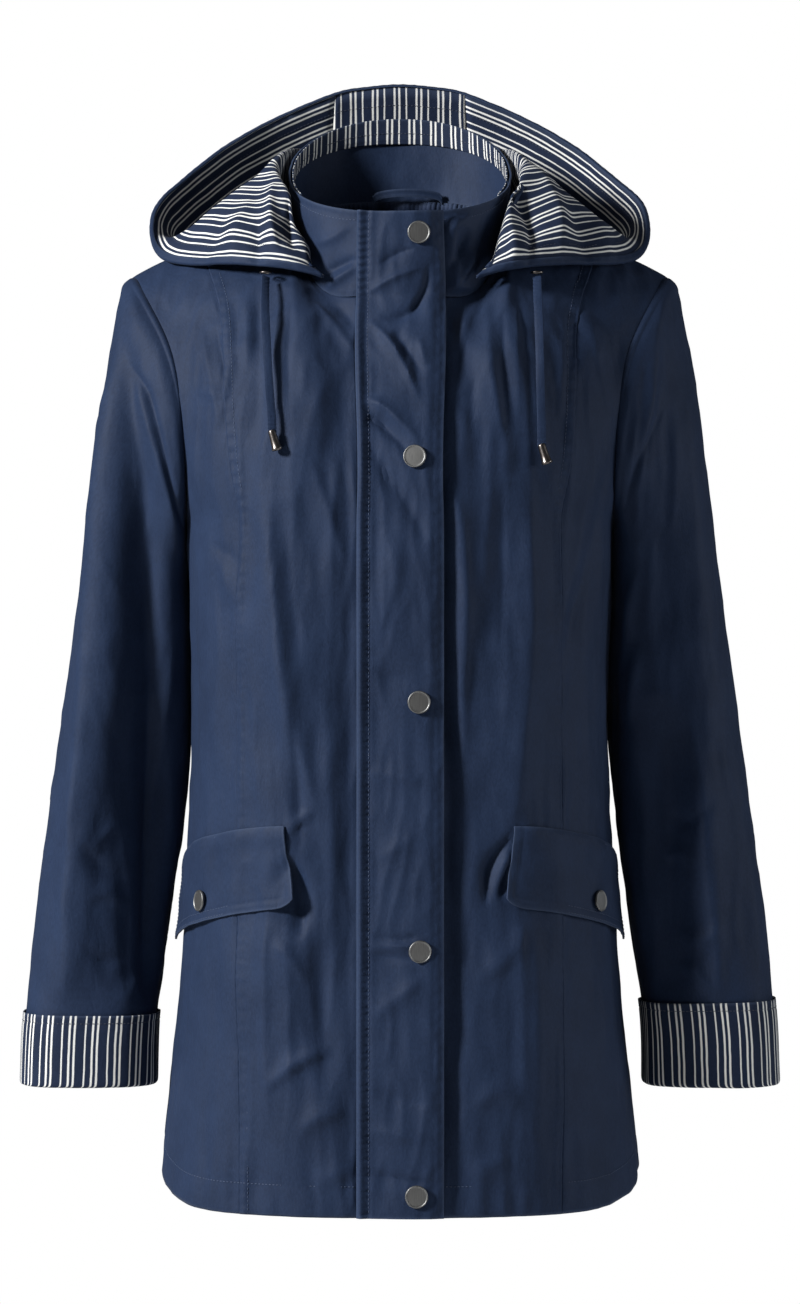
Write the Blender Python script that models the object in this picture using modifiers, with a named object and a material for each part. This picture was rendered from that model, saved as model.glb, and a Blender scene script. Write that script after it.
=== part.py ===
"""Hooded jacket in cotton canvas, hollow and filled out as when it is worn.

The jacket faces -Y and +Z is up. The origin lies between the shoulders, level with the sides of the neck.
Every table and form below is in millimetres; a piece's points become metres when its cloth is made.
A panel is a flat grid laid on one of the forms (torso, sleeve, neck, hood) and given its wall inwards.
"""
import math
from bisect import bisect_right
from collections import namedtuple

import bmesh
import bpy
from mathutils import Matrix, Vector

MM = 0.001

# Walls and gaps
CANVAS = 1.6
LINING = 1.0
SEAM = 0.6
SHOULDER_GAP = 1.4
ARMHOLE_GAP = 1.8
LAID_ON = 1.0
LINING_GAP = 0.5

# Torso
CHEST_Z = -215
HEM_FRONT_Z = -733
HEM_BACK_Z = -738
HEM_CORNER = 110
HEM_CORNER_RISE = 29
QUARTER_GIRTH = 245
YOKE_HEIGHT = 200
ROUNDNESS = 2.4
SIDE_ANGLE = math.radians(91.5)
PRINCESS_X = 119
PRINCESS_SHOULDER = 0.785
PLACKET_X = 32
UNDERLAP_X = 27
# A fold on the front or back stands out mostly in Y
FOLD_BIAS = 1.7

Section = namedtuple("Section", "z side front back")
TORSO = [
    Section(-745, 185.0, 140, 140),
    Section(-708, 182.0, 138, 137),
    Section(-585, 170.0, 132, 130),
    Section(-500, 164.5, 128, 123),
    Section(-416, 160.5, 124, 117),
    Section(-354, 159.5, 123, 114),
    Section(-262, 162.5, 128, 115),
    Section(-215, 164.0, 128, 117),
]

# The armhole, once round from the shoulder tip by way of its front edge
Armhole = namedtuple("Armhole", "turn x y z")
ARMHOLE = [
    Armhole(0, 207.0, 10, -27.5),
    Armhole(30, 195.5, -20, -48),
    Armhole(60, 174.5, -49, -90),
    Armhole(90, 165.0, -62, -135),
    Armhole(120, 162.0, -55, -178),
    Armhole(150, 162.5, -32, -205),
    Armhole(180, 164.0, 4, -215),
    Armhole(210, 163.5, 42, -205),
    Armhole(240, 165.5, 67, -178),
    Armhole(270, 170.0, 76, -138),
    Armhole(300, 180.0, 66, -92),
    Armhole(330, 196.0, 42, -50),
    Armhole(360, 207.0, 10, -27.5),
]
SHOULDER_TIP = Vector((207, 10, -27.5))
SHOULDER_BOW = 6.5

# Neck: the collar's base and top edges
Edge = namedtuple("Edge", "side front back front_z side_z back_z")
COLLAR_BASE = Edge(82, 90, 76, -53, 8, 36)
COLLAR_TOP = Edge(86, 88, 82, 12, 52, 104)
NECK_ROUNDNESS = 2.2
NECK_SIDE = math.radians(93)
NECK_TURN = 0.5

# Sleeve: the outer and inner lines in the front view, with half its depth and its middle in Y
Cut = namedtuple("Cut", "down outer_x outer_z inner_x inner_z depth y")
SLEEVE = [
    Cut(0.00, 207.0, -27.5, 164.0, -215, 69, 8),
    Cut(0.04, 216.0, -39, 165.5, -225, 71, 10),
    Cut(0.08, 222.0, -64, 165.5, -234, 72, 14),
    Cut(0.14, 227.5, -100, 164.5, -249, 71, 19),
    Cut(0.26, 236.0, -170, 162.0, -284, 68, 25),
    Cut(0.40, 247.5, -262, 160.3, -337, 63, 26),
    Cut(0.55, 259.0, -350, 162.5, -402, 58, 22),
    Cut(0.70, 269.5, -430, 168.8, -464, 54, 16),
    Cut(0.85, 280.0, -512, 177.5, -524, 51, 11),
    Cut(1.00, 288.0, -596, 187.0, -596, 49, 7),
    Cut(1.10, 291.0, -650, 188.0, -650, 48, 5),
]
SLEEVE_HEAD = 0.22
SLEEVE_END = 1.096
SLEEVE_LENGTH = 620
# The rows of a sleeve and of the hood are closer together near their seams
SLEEVE_ROWS = 1.35
HOOD_ROWS = 1.25
CUFF_PROUD = 3.4
CUFF_TOP = {"right": 0.995, "left": 0.977}

# Hood: each section runs from the neck seam over the roll and two middle points to the mouth's edge
Fold = namedtuple("Fold", "place neck_deg roll x1 y1 z1 x2 y2 z2")
HOOD = [
    Fold(0.00, 41, 0.00, 64, -77, -29, 61, -80, -32),
    Fold(0.10, 49, 0.34, 82, -72, -9, 87, -80, -20),
    Fold(0.22, 60, 0.88, 92, -55, 17, 110, -62, -4),
    Fold(0.34, 76, 1.00, 106, -30, 33, 134, -37, 7),
    Fold(0.46, 93, 1.00, 114, 2, 47, 150, -2, 21),
    Fold(0.55, 110, 1.00, 118, 42, 34, 160, 50, 2),
    Fold(0.66, 132, 0.75, 108, 92, -26, 152, 112, -36),
    Fold(0.80, 155, 0.35, 64, 119, -72, 102, 158, -76),
    Fold(1.00, 180, 0.20, 0, 124, -92, 0, 172, -94),
]
HOOD.append(HOOD[-2]._replace(place=1.2, neck_deg=205, x1=-HOOD[-2].x1, x2=-HOOD[-2].x2))
Mouth = namedtuple("Mouth", "place x y z")
HOOD_MOUTH = [
    Mouth(0.00, 57, -83, -35),
    Mouth(0.08, 82, -80, -30),
    Mouth(0.18, 112, -67, -25),
    Mouth(0.28, 139, -48, -22),
    Mouth(0.38, 163, -25, -20),
    Mouth(0.46, 184, -3, -13),
    Mouth(0.52, 192, 17, 3),
    Mouth(0.60, 189, 45, 32),
    Mouth(0.68, 168, 71, 56),
    Mouth(0.76, 134, 97, 87),
    Mouth(0.82, 96, 112, 110),
    Mouth(0.88, 52, 121, 130),
    Mouth(0.94, 26, 123, 135),
    Mouth(1.00, 0, 123, 137),
]
HOOD_MOUTH.append(HOOD_MOUTH[-2]._replace(place=1.06, x=-HOOD_MOUTH[-2].x))
HOOD_KNOTS = (0.0, 0.13, 0.40, 0.70, 1.0)
HOOD_SEAM = 0.88
HOOD_GIRTH = 330
HOOD_CLEAR = 5.0
GATHER_DEPTH = 1.2
GATHER_COUNT = 24
STRAP = namedtuple("Strap", "x half_length y low high hump")(5, 25, 66.5, 34, 41, 12)

# Pocket flaps on the torso
FLAP_INNER_X = (78, 82.5)
FLAP_END = math.radians(88)
FLAP_TOP_Z = (-446, -474)
FLAP_BOTTOM_Z = (-506, -538)
FLAP_SNAP = (0.52, -504)
FLAP_LIFT = 3.0
FLAP_CORNER = 7

# Snap caps: height and distance from the middle, down the storm flap
SNAP_RADIUS = 8.5
SNAP_HEIGHT = 3.2
CHEST_SNAP_RISE = 1.25
SNAPS = ((-4, 14), (-173, 11), (-354, 14), (-537, 14.5), (-716, 12))

# The ties: the right one's points down from its eyelet, and the left one's
TIE_RADIUS = 3.3
TIE_RIGHT = ((-101, -72, -35), (-101, -82, -47), (-100.5, -95, -66), (-99, -105, -92),
             (-97, -114, -120), (-95, -119.5, -143), (-94.5, -121, -155))
TIE_LEFT = ((103, -72, -35), (103, -82, -47), (103.5, -93, -66), (104, -102, -94),
            (104.5, -110, -124), (105, -115.5, -150), (105, -117.5, -165))
TIP_RADIUS = 4.2
TIP_LENGTH = 15

# Soft folds of the torso: from (turn, z) to (turn, z), half-width in mm and height in mm
Crease = namedtuple("Crease", "turn_a z_a turn_b z_b width height")
TORSO_CREASES = [
    Crease(-0.34, -60, -0.30, -330, 11, 3.5),
    Crease(-0.24, -70, -0.22, -380, 9, -2.5),
    Crease(-0.66, -330, -0.72, -640, 14, 3.0),
    Crease(-0.47, -560, -0.44, -745, 15, 3.5),
    Crease(0.23, -60, 0.22, -260, 8, -4.0),
    Crease(0.33, -70, 0.29, -360, 10, 3.0),
    Crease(0.78, -240, 0.80, -440, 11, 3.5),
    Crease(0.50, -570, 0.47, -745, 15, 3.5),
    Crease(1.55, -420, 1.50, -745, 20, 4.0),
    Crease(2.05, -380, 2.08, -745, 22, -4.0),
    Crease(2.50, -430, 2.46, -745, 20, 4.0),
]
# Soft folds of a sleeve: from (angle, down) to (angle, down)
Pleat = namedtuple("Pleat", "deg_a down_a deg_b down_b width height")
SLEEVE_CREASES = [
    Pleat(70, 0.10, 82, 0.95, 17, -4.5),
    Pleat(38, 0.16, 44, 0.90, 15, 2.5),
    Pleat(118, 0.20, 122, 0.95, 14, 3.0),
    Pleat(262, 0.15, 276, 0.90, 20, -4.0),
]


def read(table, at):
    """The row of a table at a place between its rows, on a smooth curve; its first column is the place."""
    places = [row[0] for row in table]
    last = len(table) - 1
    at = min(max(at, places[0]), places[last])
    low = min(max(bisect_right(places, at) - 1, 0), last - 1)
    span = places[low + 1] - places[low]
    t = (at - places[low]) / span

    def slope(i):
        before, after = max(i - 1, 0), min(i + 1, last)
        run = places[after] - places[before]
        return [(b - a) / run for a, b in zip(table[before], table[after])]

    weights = (2*t**3 - 3*t**2 + 1, (t**3 - 2*t**2 + t) * span, 3*t**2 - 2*t**3, (t**3 - t**2) * span)
    columns = zip(table[low], slope(low), table[low + 1], slope(low + 1))
    values = [sum(w * v for w, v in zip(weights, column)) for column in columns]
    return type(table[0])(*values) if hasattr(table[0], "_fields") else values


def mix(a, b, t):
    return a + (b - a) * t


def ease(t):
    t = min(max(t, 0.0), 1.0)
    return t * t * (3 - 2 * t)


def hermite(start, leave, end, arrive, t):
    return ((2*t**3 - 3*t**2 + 1) * start + (t**3 - 2*t**2 + t) * leave
            + (3*t**2 - 2*t**3) * end + (t**3 - t**2) * arrive)


def across(point, a, b):
    """How far along a-b a 2-D point lies, from 0 to 1, and how far off that line."""
    run = (b - a).length
    along = (point - a).dot(b - a) / run ** 2
    off = (point - a - (b - a) * along).length
    return along, off


def soft_ridge(along, off, width):
    """A fold's section times its ends, which fade out over a fifth of its length."""
    ends = ease(along / 0.2) * ease((1 - along) / 0.2)
    return ends * math.exp(-(off / width) ** 2)


# ---- Torso ----------------------------------------------------------------------------------------

def ring(z, angle):
    """The torso's outline at a height; the angle runs from the middle front towards +X."""
    row = read(TORSO, z)
    depth = row.front if math.cos(angle) > 0 else row.back
    reach = ((abs(math.sin(angle)) / row.side) ** ROUNDNESS
             + (abs(math.cos(angle)) / depth) ** ROUNDNESS) ** (-1 / ROUNDNESS)
    return Vector((reach * math.sin(angle), -reach * math.cos(angle), z))


def front_angle(z, x):
    """The angle at which the front of the ring at a height has this X."""
    row = read(TORSO, z)
    y = row.front * (1 - (abs(x) / row.side) ** ROUNDNESS) ** (1 / ROUNDNESS)
    return math.atan2(x, y)


def neck(angle, level):
    """A point of the stand collar: level 0 is the neck seam and 1 the top edge."""
    low, high = COLLAR_BASE, COLLAR_TOP
    side = mix(low.side, high.side, level)
    facing = "front" if math.cos(angle) > 0 else "back"
    depth = mix(getattr(low, facing), getattr(high, facing), level)
    reach = ((abs(math.sin(angle)) / side) ** NECK_ROUNDNESS
             + (abs(math.cos(angle)) / depth) ** NECK_ROUNDNESS) ** (-1 / NECK_ROUNDNESS)
    y = -reach * math.cos(angle)
    heights = []
    for edge in (low, high):
        # A parabola through the heights at the front, the side and the back
        bend = ((edge.front_z - edge.side_z) / edge.front + (edge.back_z - edge.side_z) / edge.back)
        bend /= edge.front + edge.back
        lean = (edge.back_z - edge.side_z) / edge.back - bend * edge.back
        heights.append(edge.side_z + lean * y + bend * y * y)
    return Vector((reach * math.sin(angle), y, mix(*heights, level)))


def neck_angle(x):
    """The angle at which the front of the neck seam has this X."""
    y = COLLAR_BASE.front * (1 - (abs(x) / COLLAR_BASE.side) ** NECK_ROUNDNESS) ** (1 / NECK_ROUNDNESS)
    return math.atan2(x, y)


def armhole(deg):
    row = read(ARMHOLE, deg)
    return Vector((row.x, row.y, row.z))


def yoke(is_front, part, rise):
    """The torso above the armhole's foot: part runs from its middle to the side, rise from 0 to 1."""
    angle = part * SIDE_ANGLE if is_front else math.pi - part * (math.pi - SIDE_ANGLE)
    foot = ring(CHEST_Z, angle)
    if part <= NECK_TURN:
        seam = part / NECK_TURN
        top = neck(seam * NECK_SIDE if is_front else math.pi - seam * (math.pi - NECK_SIDE), 0)
    else:
        outwards = (part - NECK_TURN) / (1 - NECK_TURN)
        top = neck(NECK_SIDE, 0).lerp(SHOULDER_TIP, outwards)
        top.z += SHOULDER_BOW * math.sin(math.pi * outwards ** 1.6)
    over = ease(part / NECK_TURN)
    to_back = mix(0.32, 1.0, over) if is_front else -mix(0.25, 1.0, over)
    arrive = Vector((0, to_back, mix(0.95, 0.1, over)))

    def column(foot, top, t):
        reach = (top - foot).length
        return hermite(foot, Vector((0, 0, reach)), top, arrive * reach, t)

    point = column(foot, top, rise)
    edge = armhole(180 * (1 - rise) if is_front else 180 + 180 * rise)
    plain = column(ring(CHEST_Z, SIDE_ANGLE), SHOULDER_TIP, rise)
    return point + (edge - plain) * part ** 2.5


def torso(turn, rise):
    """The jacket's body. turn: 0 middle front, 1 side at +X, 2 middle back, 3 side at -X; rise: 0 hem,
    1 armhole's foot, 2 shoulder and neck seam."""
    turn = (turn + 1) % 4 - 1
    is_front = turn <= 1
    part = turn if is_front else 2 - turn
    side = 1 if part >= 0 else -1
    part = abs(part)
    if rise > 1:
        point = yoke(is_front, part, rise - 1)
    else:
        corner = max(0.0, 1 - (1 - part) * QUARTER_GIRTH / HEM_CORNER)
        hem = (HEM_FRONT_Z if is_front else HEM_BACK_Z) + HEM_CORNER_RISE * corner ** 2
        angle = part * SIDE_ANGLE if is_front else math.pi - part * (math.pi - SIDE_ANGLE)
        point = ring(mix(hem, CHEST_Z, rise), angle)
    point.x *= side
    here = Vector((turn * QUARTER_GIRTH, point.z))
    height = 0.0
    for row in TORSO_CREASES:
        start = Vector((row.turn_a * QUARTER_GIRTH, row.z_a))
        end = Vector((row.turn_b * QUARTER_GIRTH, row.z_b))
        along, off = across(here, start, end)
        height += row.height * soft_ridge(along, off, row.width)
    outwards = Vector((point.x, point.y * FOLD_BIAS, 0)).normalized()
    return point + outwards * height


def turn_at(x, rise):
    """The turn at which the front has this X, followed up to the neck seam."""
    if rise > 1:
        low = front_angle(CHEST_Z, x) / SIDE_ANGLE
        high = neck_angle(x) / NECK_SIDE * NECK_TURN
        return mix(low, high, rise - 1)
    return front_angle(mix(HEM_FRONT_Z, CHEST_Z, rise), x) / SIDE_ANGLE


def princess(rise):
    """The turn of the princess seam, which swings out to the middle of the shoulder."""
    foot = front_angle(CHEST_Z, PRINCESS_X) / SIDE_ANGLE
    if rise > 1:
        return mix(foot, PRINCESS_SHOULDER, math.sin(math.pi / 2 * (rise - 1)) ** 1.1)
    return front_angle(mix(HEM_FRONT_Z, CHEST_Z, rise), PRINCESS_X) / SIDE_ANGLE


def lifted(form, u, v, lift, step=0.002):
    """A point of a form moved off it along its outward normal."""
    point = form(u, v)
    if not lift:
        return point
    across_u = form(u + step, v) - form(u - step, v)
    across_v = form(u, v + step) - form(u, v - step)
    return point + across_u.cross(across_v).normalized() * lift


# ---- Cloth ----------------------------------------------------------------------------------------

def material(name, colour, roughness, metallic=0.0):
    finish = bpy.data.materials.new(name)
    finish.use_nodes = True
    shader = finish.node_tree.nodes["Principled BSDF"]
    shader.inputs["Base Color"].default_value = (*colour, 1)
    shader.inputs["Roughness"].default_value = roughness
    shader.inputs["Metallic"].default_value = metallic
    finish.diffuse_color = (*colour, 1)
    return finish


def keep(piece, name, finish):
    """Name a piece, move it to the jacket's collection and give it its finish."""
    piece.name = piece.data.name = name
    for group in list(piece.users_collection):
        group.objects.unlink(piece)
    jacket.objects.link(piece)
    piece.data.materials.clear()
    piece.data.materials.append(finish)
    if piece.type == "MESH":
        piece.data.shade_smooth()
    return piece


def bend_at(share, at):
    """Move the middle of a 0-1 run so that `share` of its columns come before `at`."""
    return lambda u: u / share * at if u <= share else at + (u - share) / (1 - share) * (1 - at)


def cloth(name, form, columns, rows, wall, finish, closed=False, under=0.0):
    """A sheet laid on form(u, v) and given its wall inwards; `closed` sews its first column to its last.
    A sheet that lies under another is moved in from the same form by `under`."""
    bpy.ops.mesh.primitive_grid_add(x_subdivisions=columns, y_subdivisions=rows, size=1)
    piece = keep(bpy.context.object, name, finish)
    for vertex in piece.data.vertices:
        vertex.co = form(vertex.co.x + 0.5, vertex.co.y + 0.5) * MM
    if under:
        piece.data.update()
        normals = [vertex.normal.copy() for vertex in piece.data.vertices]
        for vertex, normal in zip(piece.data.vertices, normals):
            vertex.co -= normal * under * MM
    if closed:
        sheet = bmesh.new()
        sheet.from_mesh(piece.data)
        bmesh.ops.remove_doubles(sheet, verts=sheet.verts, dist=0.01 * MM)
        sheet.to_mesh(piece.data)
        sheet.free()
    thick = piece.modifiers.new("Wall", "SOLIDIFY")
    thick.thickness = wall * MM
    thick.offset = -1
    return piece


def body_panel(name, start, end, columns, rows, corner=None):
    """A torso panel between two seams, each given as the turn at a rise. `corner` is the turn of the neck
    point, which takes a column of its own."""
    def form(u, v):
        rise = bend_at(0.62, 0.5)(v) * (2 - SHOULDER_GAP / YOKE_HEIGHT)
        low, high = start(rise), end(rise)
        if corner:
            share, at = corner
            u = bend_at(share, (at - start(2)) / (end(2) - start(2)))(u)
        return torso(mix(low, high, u), rise)
    return cloth(name, form, columns, rows, CANVAS, canvas)


def torso_panels():
    seam = SEAM / 2 / QUARTER_GIRTH
    side = 1 - ARMHOLE_GAP / 2 / QUARTER_GIRTH

    def edge(x, sign):
        return lambda rise: sign * turn_at(x, rise)

    def out(sign, shift):
        return lambda rise: sign * (princess(rise) + shift)

    body_panel("front_right", out(-1, -seam), edge(PLACKET_X, -1), 9, 14, corner=(4 / 9, -NECK_TURN))
    body_panel("front_left", edge(-UNDERLAP_X, 1), out(1, -seam), 10, 14, corner=(6 / 10, NECK_TURN))
    body_panel("side_front_right", lambda rise: -side, out(-1, seam), 6, 14)
    body_panel("side_front_left", out(1, seam), lambda rise: side, 6, 14)
    body_panel("back", lambda rise: 2 - side, lambda rise: 2 + side, 16, 14)


# ---- Sleeves --------------------------------------------------------------------------------------

def sleeve(turn, down):
    """A point of the +X sleeve: turn 0 is its outer line and 0.25 its front; down runs from the armhole."""
    row = read(SLEEVE, down)
    outer = Vector((row.outer_x, row.y, row.outer_z))
    inner = Vector((row.inner_x, row.y, row.inner_z))
    angle = 2 * math.pi * turn
    point = (outer + inner) / 2 + (outer - inner) / 2 * math.cos(angle)
    point.y -= row.depth * math.sin(angle)
    if down < SLEEVE_HEAD:
        first = SLEEVE[0]
        top = Vector((first.outer_x, first.y, first.outer_z))
        foot = Vector((first.inner_x, first.y, first.inner_z))
        round_hole = (top + foot) / 2 + (top - foot) / 2 * math.cos(angle)
        round_hole.y -= first.depth * math.sin(angle)
        point += (armhole(360 * (turn % 1)) - round_hole) * (1 - ease(down / SLEEVE_HEAD))
    girth = 2 * math.pi * row.depth
    here = Vector((turn % 1 * girth, down * SLEEVE_LENGTH))
    height = 0.0
    for fold in SLEEVE_CREASES:
        start = Vector((fold.deg_a / 360 * girth, fold.down_a * SLEEVE_LENGTH))
        end = Vector((fold.deg_b / 360 * girth, fold.down_b * SLEEVE_LENGTH))
        along, off = across(here, start, end)
        height += fold.height * soft_ridge(along, off, fold.width)
    middle = (outer + inner) / 2
    return point + (point - middle).normalized() * height


def mirrored(point, side):
    return Vector((point.x * side, point.y, point.z))


def arm(side, name):
    """One sleeve and its turned-up cuff. On the -X side the turn runs the other way, to keep the faces out."""
    def long_part(u, v):
        return sleeve(u * side, SLEEVE_END * (1 - v) ** SLEEVE_ROWS)

    def set_in(u, v):
        point = long_part(u, v)
        point.x += ARMHOLE_GAP / 2
        return mirrored(point, side)

    def turned_up(u, v):
        edge = 1 - (CUFF_TOP[name] / SLEEVE_END) ** (1 / SLEEVE_ROWS)
        point = lifted(long_part, u, mix(0.001, edge, v), -side * CUFF_PROUD)
        return mirrored(point, side)

    # The grid's columns run towards +X at the front, so the turn falls as u grows
    cloth("sleeve_" + name, lambda u, v: set_in(1 - u, v), 16, 12, CANVAS, canvas, closed=True)
    cloth("cuff_" + name, lambda u, v: turned_up(1 - u, v), 16, 2, CANVAS, stripes, closed=True)


# ---- Collar and neck ------------------------------------------------------------------------------

def collar_pieces():
    start = -neck_angle(UNDERLAP_X)
    stop = 2 * math.pi - neck_angle(PLACKET_X - 2)

    def stand(u, v):
        return neck(mix(start, stop, u), mix(0.03, 1.0, v))

    cloth("collar", stand, 28, 3, CANVAS, canvas)

    def band(u, v):
        angle = mix(math.radians(62), math.radians(298), u)
        low = mix(0.86, 0.71, math.sin(math.pi * u) ** 0.6)
        return lifted(neck, angle, mix(low, 0.995, v), -(CANVAS + LAID_ON))

    cloth("collar_band", band, 22, 2, LINING, stripes)

    def gathered(u, v):
        angle = math.radians(mix(124, 236, u))
        seam = neck(angle, 0.03)
        seam -= Vector((seam.x, seam.y, 0)).normalized() * 4.5
        turn = 2 - (math.pi - angle) / (math.pi - NECK_SIDE) * NECK_TURN
        foot = lifted(torso, turn, 1.55, -(CANVAS + 9))
        ripple = Vector((0, GATHER_DEPTH * math.sin(GATHER_COUNT * angle) * ease(v / 0.6), 0))
        return foot.lerp(seam, v) + ripple

    cloth("back_lining", gathered, 28, 3, LINING, lining)

    def strap(u, v):
        bow = math.sin(math.pi * u)
        x = STRAP.x + STRAP.half_length * (1 - 2 * u)
        return Vector((x, STRAP.y - 3 * bow, mix(STRAP.low, STRAP.high, v) + STRAP.hump * bow ** 0.35))

    cloth("hanger_loop", strap, 14, 1, CANVAS, canvas)


# ---- Hood -----------------------------------------------------------------------------------------

def hood(place, reach):
    """A point of the hood on the +X half: place 0 is its front corner and 1 the middle back, and reach
    runs from the neck seam to the mouth's edge."""
    side = 1
    if place > 1:
        side, place = -1, 2 - place
    row = read(HOOD, place)
    rim = read(HOOD_MOUTH, place)
    angle = math.radians(row.neck_deg)
    away = Vector((math.sin(angle), -math.cos(angle), 0)) * HOOD_CLEAR
    knots = [
        neck(angle, 0.0) + away + Vector((0, 0, HOOD_CLEAR)),
        neck(angle, row.roll) + away * mix(2.6, 1.3, row.roll) + Vector((0, 0, HOOD_CLEAR)),
        Vector((row.x1, row.y1, row.z1)),
        Vector((row.x2, row.y2, row.z2)),
        Vector((rim.x, rim.y, rim.z)),
    ]
    table = [(at, *knot) for at, knot in zip(HOOD_KNOTS, knots)]
    point = Vector(read(table, reach)[1:])
    point.x *= side
    return point


def hood_pieces():
    """Three shell panels and, just inside them, three lining panels with the same seams."""
    gap = SEAM / 2 / HOOD_GIRTH
    spans = (
        ("side_left", "left", 0.0, HOOD_SEAM - gap, 12),
        ("centre", "centre", HOOD_SEAM + gap, 2 - HOOD_SEAM - gap, 4),
        ("side_right", "right", 2 - HOOD_SEAM + gap, 2.0, 12),
    )
    for shell, inside, start, stop, columns in spans:
        # The lining faces up and forwards, so the shell is below and behind it
        def face(u, v, start=start, stop=stop):
            return hood(mix(start, stop, u), (1 - v) ** HOOD_ROWS)

        cloth("hood_" + shell, face, columns, 11, LINING, canvas, under=LINING + LINING_GAP)
        cloth("hood_lining_" + inside, face, columns, 11, LINING, stripes)


# ---- Storm flap, pocket flaps ---------------------------------------------------------------------

def opening(across_x, rise):
    """The front over the opening, carried on up the collar where the rise passes 2."""
    if rise <= 2:
        return torso(turn_at(across_x, rise), rise)
    return neck(neck_angle(across_x), rise - 2)


def storm_flap():
    def form(u, v):
        x = mix(-PLACKET_X, PLACKET_X, u)
        rise = bend_at(0.58, 1 / 3)(v) * 3
        return lifted(opening, x, rise, CANVAS + LAID_ON, step=0.004)
    cloth("placket", form, 4, 19, CANVAS, canvas)


def rise_at(z, part=0.0):
    """The rise that lies at a height, on the front at a part of the way to the side."""
    corner = max(0.0, 1 - (1 - part) * QUARTER_GIRTH / HEM_CORNER)
    hem = HEM_FRONT_Z + HEM_CORNER_RISE * corner ** 2
    return (z - hem) / (CHEST_Z - hem)


def flap_edges(u):
    """The heights of a flap's lower edge and top seam, from its inner end to its outer end."""
    bottom = mix(*FLAP_BOTTOM_Z, max(0.0, u) ** 1.4)
    # The inner lower corner is rounded
    bottom += FLAP_CORNER * max(0.0, 1 - u / 0.12) ** 2
    return bottom, mix(*FLAP_TOP_Z, max(0.0, u) ** 1.7)


def flap_form(side):
    def form(u, v):
        u = u if side > 0 else 1 - u
        z = mix(*flap_edges(u), v)
        part = mix(front_angle(z, mix(*FLAP_INNER_X, v)), FLAP_END, u) / SIDE_ANGLE
        lift = CANVAS + LAID_ON + FLAP_LIFT * (1 - v) * (0.35 + 0.65 * u)
        return lifted(torso, side * part, rise_at(z, part), lift)
    return form


def pocket_flap(side, name):
    cloth("flap_" + name, flap_form(side), 8, 4, CANVAS, canvas)


# ---- Snaps, eyelets, ties -------------------------------------------------------------------------

def turned(name, profile, steps, finish):
    """A turned piece: its profile (radius, height) runs down its outer side and is spun about Z."""
    mesh = bpy.data.meshes.new(name)
    points = [(radius * MM, 0, height * MM) for radius, height in profile]
    mesh.from_pydata(points, [(i, i + 1) for i in range(len(points) - 1)], [])
    piece = bpy.data.objects.new(name, mesh)
    bpy.context.scene.collection.objects.link(piece)
    spin = piece.modifiers.new("Turn", "SCREW")
    spin.steps = spin.render_steps = steps
    spin.use_merge_vertices = True
    spin.merge_threshold = 0.01 * MM
    return keep(piece, name, finish)


def stand_on(piece, point, outwards):
    """Put a turned piece's foot at a point, with its axis along a direction."""
    turn = outwards.to_track_quat("Z", "Y").to_matrix().to_4x4()
    piece.matrix_world = Matrix.Translation(point * MM) @ turn


CAP = ((0, 1.0), (0.5, 0.98), (0.9, 0.8), (1.0, 0.45), (0.96, 0.0), (0, 0.0))


def snap(name, point, outwards, radius=SNAP_RADIUS):
    profile = [(radius * r, SNAP_HEIGHT * h) for r, h in CAP]
    piece = turned(name, profile, 20, metal)
    stand_on(piece, point, outwards)


def normal_of(form, u, v, step=0.004):
    across_u = form(u + step, v) - form(u - step, v)
    across_v = form(u, v + step) - form(u, v - step)
    return across_u.cross(across_v).normalized()


def snaps():
    for number, (z, x) in enumerate(SNAPS, 1):
        if z > COLLAR_BASE.front_z:
            rise = 2 + (z - COLLAR_BASE.front_z) / (COLLAR_TOP.front_z - COLLAR_BASE.front_z)
        elif z > CHEST_Z:
            rise = CHEST_SNAP_RISE
        else:
            rise = rise_at(z)
        out = normal_of(opening, x, rise)
        snap("snap_%d" % number, opening(x, rise) + out * (CANVAS + LAID_ON + SEAM), out)
    for side, name in ((-1, "right"), (1, "left")):
        form = flap_form(side)
        along, z = FLAP_SNAP
        bottom, top = flap_edges(along)
        v = (z - bottom) / (top - bottom)
        u = along if side > 0 else 1 - along
        out = normal_of(form, u, v)
        snap("flap_snap_" + name, form(u, v) + out * SEAM, out, radius=SNAP_RADIUS * 0.95)


def smooth_route(points, count):
    """Points read from a smooth curve through the route's own points."""
    table = [(i, *point) for i, point in enumerate(points)]
    return [Vector(read(table, (len(points) - 1) * i / (count - 1))[1:]) for i in range(count)]


def tie(points, name):
    curve = bpy.data.curves.new("tie_" + name, "CURVE")
    curve.dimensions = "3D"
    curve.bevel_depth = TIE_RADIUS * MM
    curve.bevel_resolution = 2
    curve.use_fill_caps = True
    route = smooth_route(points, 9)
    line = curve.splines.new("POLY")
    line.points.add(len(route) - 1)
    for knot, place in zip(line.points, route):
        knot.co = (*(place * MM), 1)
    piece = bpy.data.objects.new("tie_" + name, curve)
    bpy.context.scene.collection.objects.link(piece)
    keep(piece, "tie_" + name, canvas)
    down = (route[-1] - route[-2]).normalized()
    bell = ((0, TIP_LENGTH), (0.82, TIP_LENGTH), (0.86, 6), (1.0, 1.2), (1.0, 0), (0, 0))
    end = turned("tip_" + name, [(TIP_RADIUS * r, h) for r, h in bell], 14, metal)
    stand_on(end, route[-1] + down * (TIP_LENGTH + 0.4), -down)
    top = route[0]
    bpy.ops.mesh.primitive_torus_add(location=(top + Vector((0, 0, 0.5))) * MM, major_segments=16,
                                     minor_segments=6, major_radius=5.4 * MM, minor_radius=1.1 * MM)
    keep(bpy.context.object, "eyelet_" + name, metal)


# ---- The jacket -----------------------------------------------------------------------------------

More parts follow.
